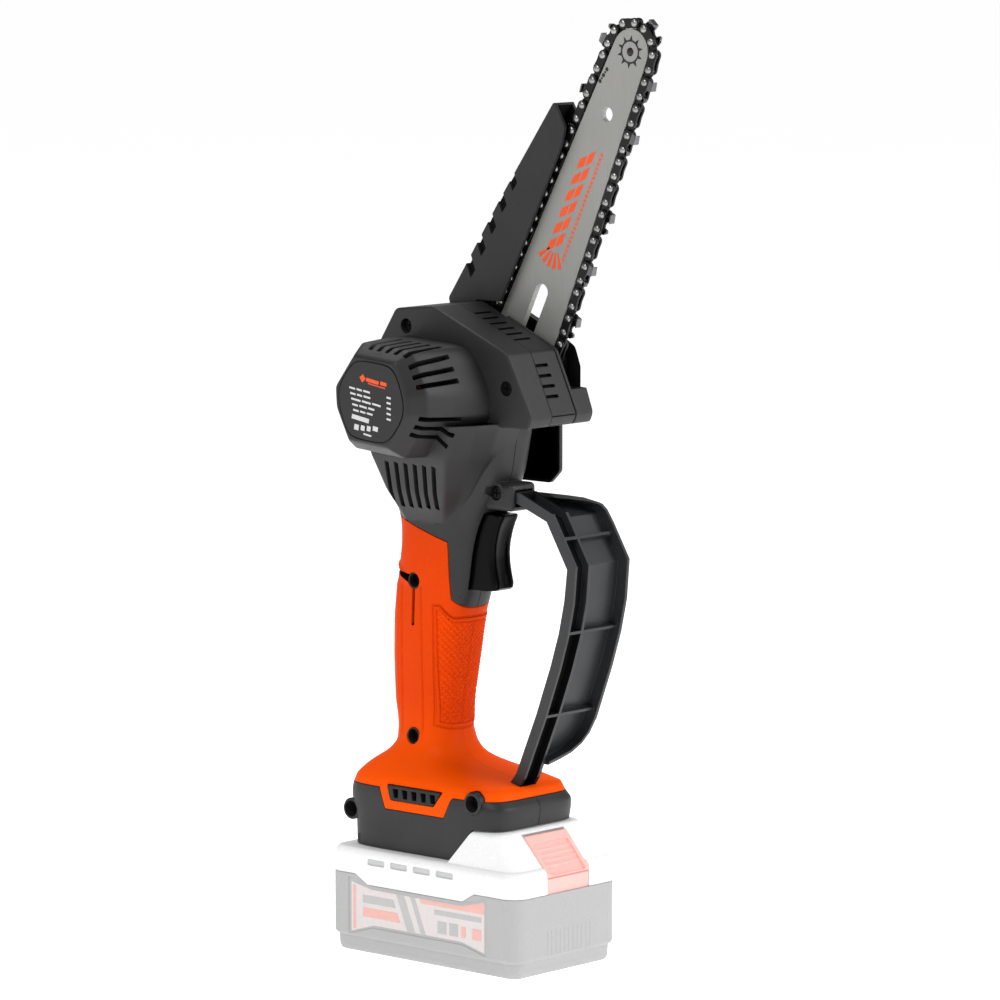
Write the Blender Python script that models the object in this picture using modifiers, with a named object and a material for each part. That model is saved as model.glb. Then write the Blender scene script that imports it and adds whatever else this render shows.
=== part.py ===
"""A cordless one-hand pruning chainsaw standing upright on its battery pack.

Lengths are in millimetres and are turned into metres as each mesh is made. The origin is the
centre of the battery's underside. +X is forward (trigger, hand guard, the bar leans that way),
+Y is the tool's left, where the bar and chain run, and +Z is up.
"""

import math

import bmesh
import bpy
from mathutils import Matrix, Vector

MM = 0.001
GAP = 0.3  # clearance kept between neighbouring pieces
FIT = 0.15  # half of that clearance, each side of a shared face

# Battery pack
BATTERY_LENGTH, BATTERY_WIDTH = 118.0, 71.5
BATTERY_SPLIT_Z, BATTERY_DIP_Z, BATTERY_TOP_Z = 38.0, 33.6, 50.3
HUMP_TOP_Z = 66.0
CELL_RADIUS, CELL_LENGTH, CELL_PITCH, ROW_RISE = 9.2, 65.0, 18.3, 18.8
LATCH_HALF_WIDTH = 14.5

# Tool body
FOOT_REAR, FOOT_FRONT, FOOT_HALF_WIDTH = -54.0, 41.0, 30.3
FOOT_BOTTOM_Z, FOOT_STEP_Z, ORANGE_BOTTOM_Z = 50.7, 66.6, 80.2
WALL = 2.6
HEAD_RIGHT_Y, HEAD_LEFT_Y = -18.8, 17.0
COVER_INNER_Y, COVER_OUTER_Y = 17.3, 35.5

# Bar and chain
BAR_Y, BAR_THICKNESS = 24.5, 3.2
NOSE = (76.8, 428.1)  # X and Z of the nose sprocket's axis
BAR_LEAN = math.radians(25.5)  # forward lean of the bar's centre line from upright
NOSE_RADIUS, BAR_BASE_HALF, BAR_BASE_AT, BAR_TAIL_HALF, BAR_TAIL_AT = 10.6, 18.2, 150.0, 14.5, 173.0
RIVET_LIFT = 2.9  # rivet line above the bar's edge
LINK_PITCH, LINK_COUNT = 12.7, 38  # 1/4 inch chain: one drive link every two rivets
DRIVE_RADIUS = 16.2  # rivet line round the drive sprocket
CHAIN_WIDTH, STRAP_HALF, CUTTER_HEIGHT = 4.6, 2.6, 5.2
STUD_AT = 158.0  # distance of the bar stud from the nose, along the bar

# Motor and gears
MOTOR_X, MOTOR_Z = -10.0, 267.0
DRUM_TURN = math.radians(-5.0)
PINION_TEETH, GEAR_TEETH = 8, 28
MESH_GAP = 0.08  # each wheel's teeth stop this short of the pitch circle

BAR_DOWN = Vector((-math.sin(BAR_LEAN), 0.0, -math.cos(BAR_LEAN)))
BAR_SIDE = Vector((math.cos(BAR_LEAN), 0.0, -math.sin(BAR_LEAN)))

# The same outline stopped short of the cover's slanted front
COVER_ROOM = [(-44, 246), (-49, 262), (-46.5, 284), (-32, 306.5), (-8.3, 308.8),
              (24, 295.1), (34, 272), (34, 254.4), (22, 254.2), (10, 246)]

HEAD_OUTLINE = [(-44, 246), (-49, 262), (-46.5, 284), (-32, 306.5), (-8.3, 308.8),
                (36, 289.2), (50, 259.5), (47.5, 254.6), (22, 254.2), (10, 246)]

GUARD_PIVOT = (-22.0, 299.0)  # X and Z of the chain guard's hinge

# Front face of the hand guard, seen from the side
GUARD_LINE = [(25.6, 223.6), (35.0, 223.2), (55.0, 215.2), (69.2, 191.5), (69.2, 171.0), (66.6, 158.5),
              (61.2, 141.0), (51.0, 117.0), (37.2, 88.5), (31.5, 80.6)]
GUARD_DEPTH, GUARD_LIP = 5.4, 2.4  # thickness, and how far the far rail stands forward of the rest
GUARD_RIBS = (204.0, 160.0, 119.5)  # heights of the ribs across the web


def guard_stretch(high, low):
    """The hand guard's line between two heights."""
    line = []
    for start, end in zip(GUARD_LINE, GUARD_LINE[1:]):
        for height in (high, low):
            if start[1] > height > end[1]:
                share = (start[1] - height) / (start[1] - end[1])
                line.append((start[0] + share * (end[0] - start[0]), height))
        if high > end[1] > low:
            line.append(end)
    return line


def guard_strip(name, line, back, front, low, high, collection=None):
    """A strip along a line, between two depths behind the guard's front face."""
    inner, outer = [], []
    for i, point in enumerate(line):
        before = Vector(line[max(i - 1, 0)])
        after = Vector(line[min(i + 1, len(line) - 1)])
        forward = Vector((before.y - after.y, after.x - before.x)).normalized()
        inner.append(tuple(Vector(point) - forward * back))
        outer.append(tuple(Vector(point) - forward * front))
    return plate(name, counter_clockwise(outer + inner[::-1]), low, high, collection)


def build_hand_guard():
    """A spine of two rails between head and foot, with a ribbed web out towards the chain's side."""
    guard = guard_strip("hand_guard", GUARD_LINE, GUARD_DEPTH, -GUARD_LIP, -5.8, 30.0, PARTS)
    beyond = [(20.0, 223.7)] + GUARD_LINE[1:-1] + [(26.5, 73.0)]
    cut(guard, guard_strip("front_guard", beyond, 0.0, -9.0, -8.0, 28.4))
    stretches = [(222.6, GUARD_RIBS[0] + 0.9), (GUARD_RIBS[0] - 0.9, GUARD_RIBS[1] + 0.9),
                 (GUARD_RIBS[1] - 0.9, GUARD_RIBS[2] + 0.9), (GUARD_RIBS[2] - 0.9, 83.0)]
    for i, (high, low) in enumerate(stretches):
        line = guard_stretch(high, low)
        cut(guard, guard_strip(f"pocket_near_{i}", line, GUARD_DEPTH - 1.8, -4.0, -4.0, 3.4),
            guard_strip(f"pocket_far_{i}", line, GUARD_DEPTH - 1.8, -4.0, 5.4, 28.4))
    over = [(5.5, 300), (5.5, 224.6), (17, 223.2), (20, 222.4), (60, 214), (60, 300)]
    under = [(5.5, 20), (5.5, 90.5), (20, 93.5), (26, 97.5), (29.5, 106), (31, 114), (60, 130), (60, 20)]
    flare = plate_yz("flare_guard", over, 0, 90)
    taper = plate_yz("taper_guard", under, 0, 90)
    cut(guard, flare, taper, block("web_start", (15, 5.9, 200), (32.7, 9.2, 240)))
    return finish(guard, dark_nylon())


def plate_yz(name, outline, low, high):
    """An outline in Y and Z, extruded along X."""
    made = plate(name, outline, low, high, flat="XY")
    made.data.transform(Matrix(((0, 0, 1, 0), (1, 0, 0, 0), (0, 1, 0, 0), (0, 0, 0, 1))))
    return made


def build_trigger():
    profile = counter_clockwise([(-3.0, 210.2), (21.5, 211.0), (19.4, 200), (18.4, 190), (18.8, 183),
                                 (20.4, 177.2), (16.5, 176.2), (-3.0, 176.2)])
    trigger = plate("trigger", profile, -7.6, 7.6, PARTS)
    cut(trigger, block("trigger_hollow", (-12, -5.2, 178.5), (12.0, 5.2, 208.0)))
    finish(trigger, black_plastic())


# ---------------------------------------------------------------- drive train

def motor_point(y):
    return (MOTOR_X, y, MOTOR_Z)


def drive_point(y):
    return along_bar(DRIVE_AT, y=y)


def toothed_wheel(name, centre, teeth, radius, low, high, bore, collection=None):
    """A spur wheel whose square-ended teeth reach out to a radius, half a pitch wide."""
    outline = []
    for i in range(teeth * 4):
        angle = 2 * math.pi * (i + 0.5) / (teeth * 4)
        reach = radius - (0.0 if i % 4 in (0, 1) else 1.3)
        outline.append((centre[0] + reach * math.cos(angle), centre[1] + reach * math.sin(angle)))
    return plate(name, [outline, circle(centre, bore, 16)], low, high, collection)


def build_drive_train():
    """Motor can, armature, fan, pinion, gear, output shaft, drive sprocket and their bearings."""
    motor = (MOTOR_X, MOTOR_Z)
    drive = (drive_point(0).x, drive_point(0).z)
    spread = (Vector(motor) - Vector(drive)).length
    pinion_radius = spread * PINION_TEETH / (PINION_TEETH + GEAR_TEETH)
    can = turned("motor_can", [(19.0, 18.0), (21.0, 18.0), (21.0, -18.0), (19.0, -18.0), (19.0, 18.0)],
                 motor_point(-26.0), (0, -1, 0), 28, PARTS)
    finish(can, bright_steel(), smooth=True)
    windings = [(0, 27.0), (2.4, 27.0), (2.4, 15.0), (7.0, 15.0), (7.0, 9.0), (16.5, 9.0), (16.5, -14.0),
                (2.4, -14.0), (2.4, -27.0), (1.4, -27.0), (1.4, -34.5), (0, -34.5)]
    armature = turned("motor_armature", windings, motor_point(-26.0), (0, -1, 0), 20, PARTS)
    finish(armature, copper(), smooth=True)
    fan = plate("motor_fan", [star(motor, 11.0, 17.5, 9), circle(motor, 2.8, 16)], -49.5, -45.2, PARTS)
    finish(fan, black_plastic())
    pinion = toothed_wheel("motor_pinion", motor, PINION_TEETH, pinion_radius - MESH_GAP, 1.6, 7.6, 1.6, PARTS)
    finish(pinion, bright_steel(), pivot=motor_point(4.6))
    gear_radius = spread - pinion_radius - MESH_GAP
    gear = toothed_wheel("reduction_gear", drive, GEAR_TEETH, gear_radius, 2.0, 7.0, 4.2, PARTS)
    finish(gear, bright_steel(), pivot=drive_point(4.5))
    shaft = rod("output_shaft", drive_point(-4.0), drive_point(30.4), 3.9, 20, collection=PARTS)
    finish(shaft, bright_steel(), pivot=drive_point(13.0))
    sprocket = toothed_wheel("drive_sprocket", drive, 8, 13.0, BAR_Y - 2.2, BAR_Y + 2.2, 4.2, PARTS)
    finish(sprocket, bright_steel(), pivot=drive_point(BAR_Y))
    ring = [circle(drive, 6.5, 16), circle(drive, 4.2, 16)]
    clip = plate("sprocket_clip", ring, BAR_Y + 2.5, BAR_Y + 3.6, PARTS)
    finish(clip, chain_steel())
    bearings = (("bearing_motor_front", motor, -5.2, -1.2, 2.7, 6.5), ("bearing_drive", drive, 9.0, 14.0, 4.2, 8.0))
    for name, centre, low, high, inner, outer in bearings:
        ring = plate(name, [circle(centre, outer, 20), circle(centre, inner, 16)], low, high, PARTS)
        finish(ring, bright_steel())
    rim = circle((motor[0] + 1.0, motor[1] - 4.0), 22.5, 28)
    mount = plate("gearbox_plate", [rim, circle(motor, 6.8, 20), circle(drive, 4.3, 16)], -5.8, -2.0, PARTS)
    finish(mount, bright_steel())


# ---------------------------------------------------------------- small pieces inside the tool

def build_screw(name, x, z, y_head, y_tip, radius=1.7):
    """A self-tapping screw with a cross recess, running along Y from its head."""
    side = 1 if y_tip > y_head else -1
    screw = turned(name, [(0, 0), (2.9, 0), (2.9, -1.4), (radius, -2.2), (radius * 0.8, -abs(y_tip - y_head)),
                          (0, -abs(y_tip - y_head))], (x, y_head, z), (0, -side, 0), 12, PARTS)
    for i, (wide, tall) in enumerate(((2.0, 0.35), (0.35, 2.0))):
        cut(screw, block(f"{name}_slot_{i}", (x - wide, min(y_head - 1, y_head + side), z - tall),
                         (x + wide, max(y_head - 1, y_head + side), z + tall)))
    return finish(screw, chain_steel())


def bore_for_screw(shell, name, x, z, head, tip, root, side):
    """The bushing, counterbore and pilot hole of one screw."""
    if side == "right":
        join(shell, rod(f"bush_{name}_{side}", (x, head - 1.5, z), (x, -FIT, z), 5.2, 16))
        cut(shell, rod(f"counterbore_{name}", (x, -60, z), (x, head + 2.7, z), 3.6, 16),
            rod(f"pilot_{name}_{side}", (x, -60, z), (x, 4, z), 2.05, 12))
    else:
        join(shell, rod(f"bush_{name}_{side}", (x, FIT, z), (x, root, z), 4.4, 16))
        cut(shell, rod(f"pilot_{name}_{side}", (x, -4, z), (x, tip + 0.6, z), 2.05, 12))


def build_inner_pieces():
    """Switch, lock-off button, controller, terminals and the screws."""
    switch = block("trigger_switch", (-24.0, -7.0, 184.0), (-12.6, 7.0, 204.5), PARTS)
    join(switch, block("switch_plunger", (-13.5, -2.0, 190.0), (-9.4, 2.0, 195.0)))
    finish(switch, black_plastic())
    button = block("lock_off_button", (-16.0, 10.4, 205.5), (-5.0, 20.4, 212.5), PARTS)
    bevel(button, 0.8, 1)
    finish(button, black_plastic())
    board = block("controller_board", (-35.0, -9.4, 120.0), (-14.0, 9.4, 121.8), PARTS)
    join(board, block("controller_chip", (-33.0, -6.0, 121.0), (-24.0, 6.0, 126.0)),
         rod("controller_capacitor", (-17.5, 0, 121.0), (-17.5, 0, 133.0), 4.0, 14))
    finish(board, board_green())
    terminals = block("terminal_block", (-40.0, -13.0, 63.2), (-18.0, 13.0, 70.0), PARTS)
    for i in range(3):
        y = -8.0 + 8.0 * i
        join(terminals, block(f"terminal_blade_{i}", (-36.0, y - 0.5, 58.4), (-24.0, y + 0.5, 64.0)))
    finish(terminals, black_plastic())
    for name, x, z, head, tip, _ in SCREWS:
        build_screw(name, x, z, head, tip)
    for i, (x, z, end) in enumerate(FOOT_BOSSES):
        build_screw(f"screw_foot_{i + 1}", x, z, 4.6 - end, 15.6 - end)


def build_oil_parts():
    """The small chain-oil tank at the head's rear and its screw cap."""
    tank = block("oil_tank", (-42.5, 1.5, 262.0), (-34.5, 13.0, 286.0), PARTS)
    neck = rod("tank_neck", (-36.0, 7.2, 273.0), (-52.5, 7.2, 273.0), 4.0, 20)
    join(tank, neck)
    cut(tank, rod("tank_bore", (-39.0, 7.2, 273.0), (-60.0, 7.2, 273.0), 2.8, 16),
        block("tank_hollow", (-41.0, 3.0, 264.0), (-36.0, 11.5, 284.5)))
    finish(tank, pack_white())
    cap = turned("oil_cap", [(0, 5.6), (6.0, 5.6), (6.8, 4.8), (6.8, 0), (4.3, 0), (4.3, 3.6), (0, 3.6)],
                 (-49.6, 7.2, 273.0), (-1, 0, 0), 20, PARTS)
    join(cap, block("cap_grip", (-57.4, 1.6, 272.1), (-54.0, 12.8, 273.9)))
    finish(cap, orange_nylon())


def build_tensioner():
    """The tension screw along the bar's line and the block whose pin moves the bar."""
    low, high = along_bar(184.0, 10.0, 19.6), along_bar(160.0, 10.0, 19.6)
    screw = rod("tension_screw", low, high, 1.9, 14, collection=PARTS)
    finish(screw, bright_steel(), pivot=low)
    centre = along_bar(169.0, 10.0, 19.6)
    block_piece = block("tension_block", (-4.2, -1.9, -3.0), (4.2, 1.9, 3.0), PARTS)
    block_piece.data.transform(Matrix.Translation(centre * MM) @ Matrix.Rotation(BAR_LEAN, 4, "Y"))
    join(block_piece, rod("tension_pin", along_bar(169.0, 10.0, 20.0), along_bar(169.0, 10.0, 25.6), 1.9, 14))
    thread = rod("tension_thread", along_bar(190.0, 10.0, 19.6), along_bar(150.0, 10.0, 19.6), 2.2, 14)
    cut(block_piece, thread)
    finish(block_piece, chain_steel())


def build_vent_grilles():
    """The slatted dark inserts on both sides of the foot."""
    for side, sign in (("right", -1), ("left", 1)):
        ys = sorted((sign * 26.9, sign * 30.1))
        grille = plate(f"vent_grille_{side}", counter_clockwise(GRILLE), *ys, PARTS)
        for i in range(5):
            x = -23.4 + 6.0 * i
            cut(grille, block(f"grille_hole_{side}_{i}", (x, -40, 76.0), (x + 3.6, 40, 80.4)))
        finish(grille, black_plastic())


def grille_opening(side):
    ys = (-40, -20) if side == "right" else (20, 40)
    return plate(f"opening_grille_{side}", grown(counter_clockwise(GRILLE), GAP), *ys)


# ---------------------------------------------------------------- battery pack

def pack_ring(z, inset):
    half_x, half_y = BATTERY_LENGTH / 2 - inset, BATTERY_WIDTH / 2 - inset
    corner = rounded_box((-half_x, -half_y), (half_x, half_y), 9.0 - min(inset, 6.0), 4)
    return [(x, y, z) for x, y in corner]


def pack_split(low, shift):
    """Everything on one side of the wavy seam between the pack's case and its top."""
    dip = BATTERY_SPLIT_Z - BATTERY_DIP_Z
    seam = [(-90, 0), (-42, 0), (-34, -dip), (26.5, -dip), (34, 0), (90, 0)]
    seam = [(x, BATTERY_SPLIT_Z + z + shift) for x, z in seam]
    far = [(90, 120), (-90, 120)] if not low else [(90, -20), (-90, -20)]
    return counter_clockwise(seam + far)


def build_battery():
    """Case, top with the slide rail, latch, cell rows, board, latch spring and labels."""
    case_rings = [pack_ring(0, 3.0), pack_ring(1.6, 1.2), pack_ring(7.5, 0.8), pack_ring(9.0, 0.0),
                  pack_ring(44.0, 0.0)]
    case = loft("battery_case", case_rings, PARTS)
    keep(case, plate("case_reach", pack_split(True, -FIT), -60, 60))
    cut(case, plate("case_room", rounded_box((-56.8, -33.4), (56.8, 33.4), 6.5), 2.2, 90, flat="XY"))
    finish(case, pack_grey())

    top_rings = [pack_ring(30.0, 0.0), pack_ring(46.5, 0.0), pack_ring(49.2, 1.0), pack_ring(BATTERY_TOP_Z, 2.8)]
    top = loft("battery_top", top_rings, PARTS)
    hump = loft("battery_hump", [
        [(x, y, 44.0) for x, y in rounded_box((10.8, -34.6), (57.8, 34.6), 7.0, 4)],
        [(x, y, 50.0) for x, y in rounded_box((15.0, -33.4), (57.0, 33.4), 7.0, 4)],
        [(x, y, 64.6) for x, y in rounded_box((25.8, -28.0), (43.6, 28.0), 5.0, 4)],
        [(x, y, HUMP_TOP_Z) for x, y in rounded_box((28.0, -26.4), (42.0, 26.4), 4.0, 4)]])
    join(top, hump, block("rail_stem", (-46, -18.8, 48.0), (20, 18.8, 57.0)),
         block("rail_head", (-46, -24.0, 56.2), (20, 24.0, 61.6)))
    keep(top, plate("top_reach", pack_split(False, FIT), -60, 60))
    cut(top, plate("top_room", rounded_box((-56.8, -33.4), (56.8, 33.4), 6.5), 20, 47.2, flat="XY"),
        plate("hump_room", rounded_box((20.0, -25.0), (44.0, 25.0), 4), 46.0, 60.0, flat="XY"),
        plate("latch_opening", counter_clockwise([(38, 64.2), (45.9, 64.2), (75, 64.2), (75, 30), (44, 30)]),
              -LATCH_HALF_WIDTH - GAP, LATCH_HALF_WIDTH + GAP))
    for i in range(3):
        y = -8.0 + 8.0 * i
        cut(top, block(f"rail_slot_{i}", (-60, y - 1.6, 57.2), (-18, y + 1.6, 64)))
    for i in range(4):
        x = -34.0 + 14.6 * i
        for sign in (-1, 1):
            ys = sorted((sign * 34.9, sign * 40.0))
            cut(top, block(f"vent_pack_{i}_{sign}", (x, ys[0], 43.3), (x + 11.0, ys[1], 46.2)))
    finish(top, pack_white())

    face = counter_clockwise([(45.6, 63.9), (60.2, 47.2), (59.4, 38.4), (57.2, 38.4), (57.4, 45.6), (43.4, 61.4)])
    latch = plate("battery_latch", face, -LATCH_HALF_WIDTH, LATCH_HALF_WIDTH, PARTS)
    finish(latch, latch_pink(), pivot=(55.0, 0, 48.0))

    for row, height in (("lower", 11.8), ("upper", 11.8 + ROW_RISE)):
        cells = rod(f"cell_row_{row}", (-2 * CELL_PITCH, -CELL_LENGTH / 2, height),
                    (-2 * CELL_PITCH, CELL_LENGTH / 2, height), CELL_RADIUS, 18, collection=PARTS)
        for i in range(1, 5):
            x = (i - 2) * CELL_PITCH
            join(cells, rod(f"cell_{row}_{i}", (x, -CELL_LENGTH / 2 + 0.05 * i, height),
                            (x, CELL_LENGTH / 2 - 0.05 * i, height), CELL_RADIUS, 18))
        join(cells, block(f"strap_{row}", (-2 * CELL_PITCH, -3, height - 1.5), (2 * CELL_PITCH, 3, height + 1.5)))
        finish(cells, cell_wrap(), smooth=True)
    finish(block("battery_board", (-46, -26, 42.0), (40, 26, 43.6), PARTS), board_green())
    label = [(-44.5, 34.2), (-30.0, 32.0), (26.0, 32.0), (41.0, 35.6), (41.0, 11.8), (26.0, 14.4), (-30, 14.4),
             (-44.5, 10.4)]
    piece = plate("battery_label", counter_clockwise(label), -BATTERY_WIDTH / 2 - 0.7, -BATTERY_WIDTH / 2 - 0.3, PARTS)
    finish(piece, pack_white())

# Screws through the right half: x, z, depth of the head's face, tip, root of the left half's bush
SCREWS = [
    ("screw_head_rear", -25.0, 298.5, -16.2, 8.0, 14.8), ("screw_head_front", 35.0, 272.8, -15.2, 8.0, 14.8),
    ("screw_boss", 22.5, 222.6, -8.2, 7.4, 8.5), ("screw_grip_top", -22.6, 178.0, -12.6, 9.0, 14.8),
    ("screw_grip_low", -23.5, 103.8, -12.6, 9.0, 14.8),
]
FOOT_BOSSES = [(27.0, 79.0, 30.6), (-54.0, 66.5, 27.0)]  # X, Z and outer end of the foot's screw tubes
GRILLE = [(-27.6, 81.9), (7.6, 81.9), (2.4, 74.6), (-25.2, 74.6)]  # the foot's vent grille, seen from the side

# Pieces on which the exact solver leaves open edges, so the manifold one joins and cuts them
NEAR_MISSES = ("housing_right", "housing_left", "grip_left", "grip_right", "chain_guard")


# ---------------------------------------------------------------- helpers

def clear_scene():
    for obj in list(bpy.data.objects):
        bpy.data.objects.remove(obj, do_unlink=True)


def new_collection(name):
    made = bpy.data.collections.new(name)
    bpy.context.scene.collection.children.link(made)
    return made


def material(name, colour, roughness, metallic=0.0):
    made = bpy.data.materials.get(name) or bpy.data.materials.new(name)
    made.use_nodes = True
    shader = made.node_tree.nodes["Principled BSDF"]
    shader.inputs["Base Color"].default_value = (*colour, 1.0)
    shader.inputs["Roughness"].default_value = roughness
    shader.inputs["Metallic"].default_value = metallic
    return made


def dark_nylon():
    return material("dark_nylon", (0.045, 0.046, 0.048), 0.62)


def orange_nylon():
    return material("orange_nylon", (1.0, 0.13, 0.005), 0.5)


def black_plastic():
    return material("black_plastic", (0.012, 0.012, 0.013), 0.3)


def bar_steel():
    return material("bar_steel", (0.28, 0.28, 0.26), 0.4, 1.0)


def bright_steel():
    return material("bright_steel", (0.55, 0.55, 0.54), 0.28, 1.0)


def chain_steel():
    return material("chain_steel", (0.05, 0.05, 0.052), 0.35, 1.0)


def plate_black():
    return material("plate_black", (0.02, 0.02, 0.02), 0.4)


def copper():
    return material("copper", (0.8, 0.36, 0.2), 0.35, 1.0)


def board_green():
    return material("board_green", (0.02, 0.14, 0.05), 0.45)


def pack_white():
    return material("pack_white", (0.84, 0.84, 0.84), 0.5)


def pack_grey():
    return material("pack_grey", (0.5, 0.5, 0.5), 0.55)


def latch_pink():
    return material("latch_pink", (0.89, 0.55, 0.49), 0.5)


def cell_wrap():
    return material("cell_wrap", (0.1, 0.3, 0.45), 0.35)


def mesh_object(name, shape, collection):
    """The bmesh, drawn in millimetres, as a new object in metres."""
    bmesh.ops.scale(shape, vec=(MM, MM, MM), verts=shape.verts)
    mesh = bpy.data.meshes.new(name)
    shape.to_mesh(mesh)
    shape.free()
    obj = bpy.data.objects.new(name, mesh)
    collection.objects.link(obj)
    return obj


def block(name, low, high, collection=None):
    """A box between two corners."""
    low, high = Vector(low), Vector(high)
    shape = bmesh.new()
    bmesh.ops.create_cube(shape, size=1.0)
    bmesh.ops.scale(shape, vec=high - low, verts=shape.verts)
    bmesh.ops.translate(shape, vec=(low + high) / 2, verts=shape.verts)
    return mesh_object(name, shape, collection or CUTTERS)


def rod(name, start, end, radius, sides=20, end_radius=None, collection=None):
    """A round bar or a cone between two points."""
    start, end = Vector(start), Vector(end)
    along = end - start
    shape = bmesh.new()
    bmesh.ops.create_cone(shape, cap_ends=True, segments=sides, radius1=radius,
                          radius2=radius if end_radius is None else end_radius, depth=along.length)
    turn = Vector((0, 0, 1)).rotation_difference(along).to_matrix().to_4x4()
    bmesh.ops.transform(shape, matrix=Matrix.Translation((start + end) / 2) @ turn, verts=shape.verts)
    return mesh_object(name, shape, collection or CUTTERS)


def plate(name, outlines, low, high, collection=None, flat="XZ"):
    """Closed outlines (later ones are holes) filled and extruded from low to high.

    flat "XZ" extrudes along Y, "XY" along Z.
    """
    if isinstance(outlines[0][0], (int, float)):
        outlines = [outlines]
    curve = bpy.data.curves.new(name, "CURVE")
    curve.dimensions = "2D"
    curve.fill_mode = "BOTH"
    curve.extrude = (high - low) / 2 * MM
    for outline in outlines:
        spline = curve.splines.new("POLY")
        spline.points.add(len(outline) - 1)
        for point, (u, v) in zip(spline.points, outline):
            point.co = (u * MM, v * MM, 0.0, 1.0)
        spline.use_cyclic_u = True
    drawn = bpy.data.objects.new(name + "_outline", curve)
    CUTTERS.objects.link(drawn)
    middle = (low + high) / 2 * MM
    if flat == "XZ":
        placed = Matrix.Translation((0, middle, 0)) @ Matrix.Rotation(math.pi / 2, 4, "X")
    else:
        placed = Matrix.Translation((0, 0, middle))
    drawn.matrix_world = placed
    bpy.context.view_layer.update()
    graph = bpy.context.evaluated_depsgraph_get()
    mesh = bpy.data.meshes.new_from_object(drawn.evaluated_get(graph))
    shape = bmesh.new()
    shape.from_mesh(mesh)
    bmesh.ops.remove_doubles(shape, verts=shape.verts, dist=1e-6)
    bmesh.ops.dissolve_limit(shape, angle_limit=math.radians(0.5), verts=shape.verts, edges=shape.edges)
    bmesh.ops.transform(shape, matrix=placed, verts=shape.verts)
    bmesh.ops.recalc_face_normals(shape, faces=shape.faces)
    shape.to_mesh(mesh)
    shape.free()
    bpy.data.objects.remove(drawn)
    bpy.data.curves.remove(curve)
    obj = bpy.data.objects.new(name, mesh)
    (collection or CUTTERS).objects.link(obj)
    return obj


def loft(name, rings, collection=None):
    """A solid through rings with the same number of points; the first and last are its ends."""
    shape = bmesh.new()
    rows = [[shape.verts.new(point) for point in ring] for ring in rings]
    for lower, upper in zip(rows, rows[1:]):
        for i in range(len(lower)):
            j = (i + 1) % len(lower)
            shape.faces.new((lower[i], lower[j], upper[j], upper[i]))
    shape.faces.new(rows[0])
    shape.faces.new(rows[-1])
    bmesh.ops.recalc_face_normals(shape, faces=shape.faces)
    return mesh_object(name, shape, collection or CUTTERS)


def turned(name, profile, base, axis, steps=24, collection=None):
    """A profile of (radius, height) points from the top down, turned about an axis through base."""
    shape = bmesh.new()
    corners = [shape.verts.new((radius, 0, height)) for radius, height in profile]
    for first, second in zip(corners, corners[1:]):
        shape.edges.new((first, second))
    obj = mesh_object(name, shape, collection or CUTTERS)
    turn = Vector((0, 0, 1)).rotation_difference(Vector(axis)).to_matrix().to_4x4()
    obj.matrix_world = Matrix.Translation(Vector(base) * MM) @ turn
    screw = obj.modifiers.new("turn", "SCREW")
    screw.steps = screw.render_steps = steps
    screw.use_merge_vertices = True
    screw.merge_threshold = 0.00001
    return obj


def boolean(obj, other, operation="DIFFERENCE"):
    change = obj.modifiers.new(operation.lower(), "BOOLEAN")
    change.operation = operation
    change.solver = "MANIFOLD" if obj.name in NEAR_MISSES else "EXACT"
    change.object = other
    other.hide_render = True
    other.display_type = "WIRE"


def cut(obj, *cutters):
    for cutter in cutters:
        boolean(obj, cutter)


def join(obj, *others):
    for other in others:
        boolean(obj, other, "UNION")


def keep(obj, *others):
    for other in others:
        boolean(obj, other, "INTERSECT")


def bevel(obj, width, segments=2):
    change = obj.modifiers.new("bevel", "BEVEL")
    change.width = width * MM
    change.segments = segments
    change.limit_method = "ANGLE"
    change.angle_limit = math.radians(40)


def finish(obj, look, smooth=False, pivot=None):
    """Gives a sub-part its material and, when it moves, an origin on its joint's axis."""
    obj.data.materials.clear()
    obj.data.materials.append(look)
    if smooth:
        obj.data.shade_smooth()
        obj.data.set_sharp_from_angle(angle=math.radians(35))
    if pivot is not None:
        shift = Vector(pivot) * MM
        obj.data.transform(Matrix.Translation(-shift))
        obj.location = shift
    return obj


def along_bar(distance, across=0.0, y=BAR_Y):
    """The point so far down the bar from its nose and so far forward of its centre line."""
    nose = Vector((NOSE[0], y, NOSE[1]))
    return nose + BAR_DOWN * distance + BAR_SIDE * across


def flat(points):
    return [(point.x, point.z) for point in points]


def arc(centre, radius, first, last, count):
    """Points of an arc in a plane, angles in degrees."""
    angles = [math.radians(first + (last - first) * i / (count - 1)) for i in range(count)]
    return [(centre[0] + radius * math.cos(a), centre[1] + radius * math.sin(a)) for a in angles]


def circle(centre, radius, count=20):
    return arc(centre, radius, 0, 360 * (count - 1) / count, count)


def rounded_box(low, high, radius, count=4):
    """A rectangle's outline with round corners."""
    (left, bottom), (right, top) = low, high
    return (arc((right - radius, bottom + radius), radius, -90, 0, count)
            + arc((right - radius, top - radius), radius, 0, 90, count)
            + arc((left + radius, top - radius), radius, 90, 180, count)
            + arc((left + radius, bottom + radius), radius, 180, 270, count))


def grown(outline, distance):
    """A counter-clockwise outline pushed outwards by a distance."""
    made = []
    for i, (x, z) in enumerate(outline):
        before, after = outline[i - 1], outline[(i + 1) % len(outline)]
        first = Vector((z - before[1], before[0] - x)).normalized()
        second = Vector((after[1] - z, x - after[0])).normalized()
        mitre = (first + second) / (1 + first.dot(second))
        made.append((x + mitre.x * distance, z + mitre.y * distance))
    return made


def counter_clockwise(outline):
    area = sum(a[0] * b[1] - b[0] * a[1] for a, b in zip(outline, outline[1:] + outline[:1]))
    return outline if area > 0 else outline[::-1]


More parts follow.
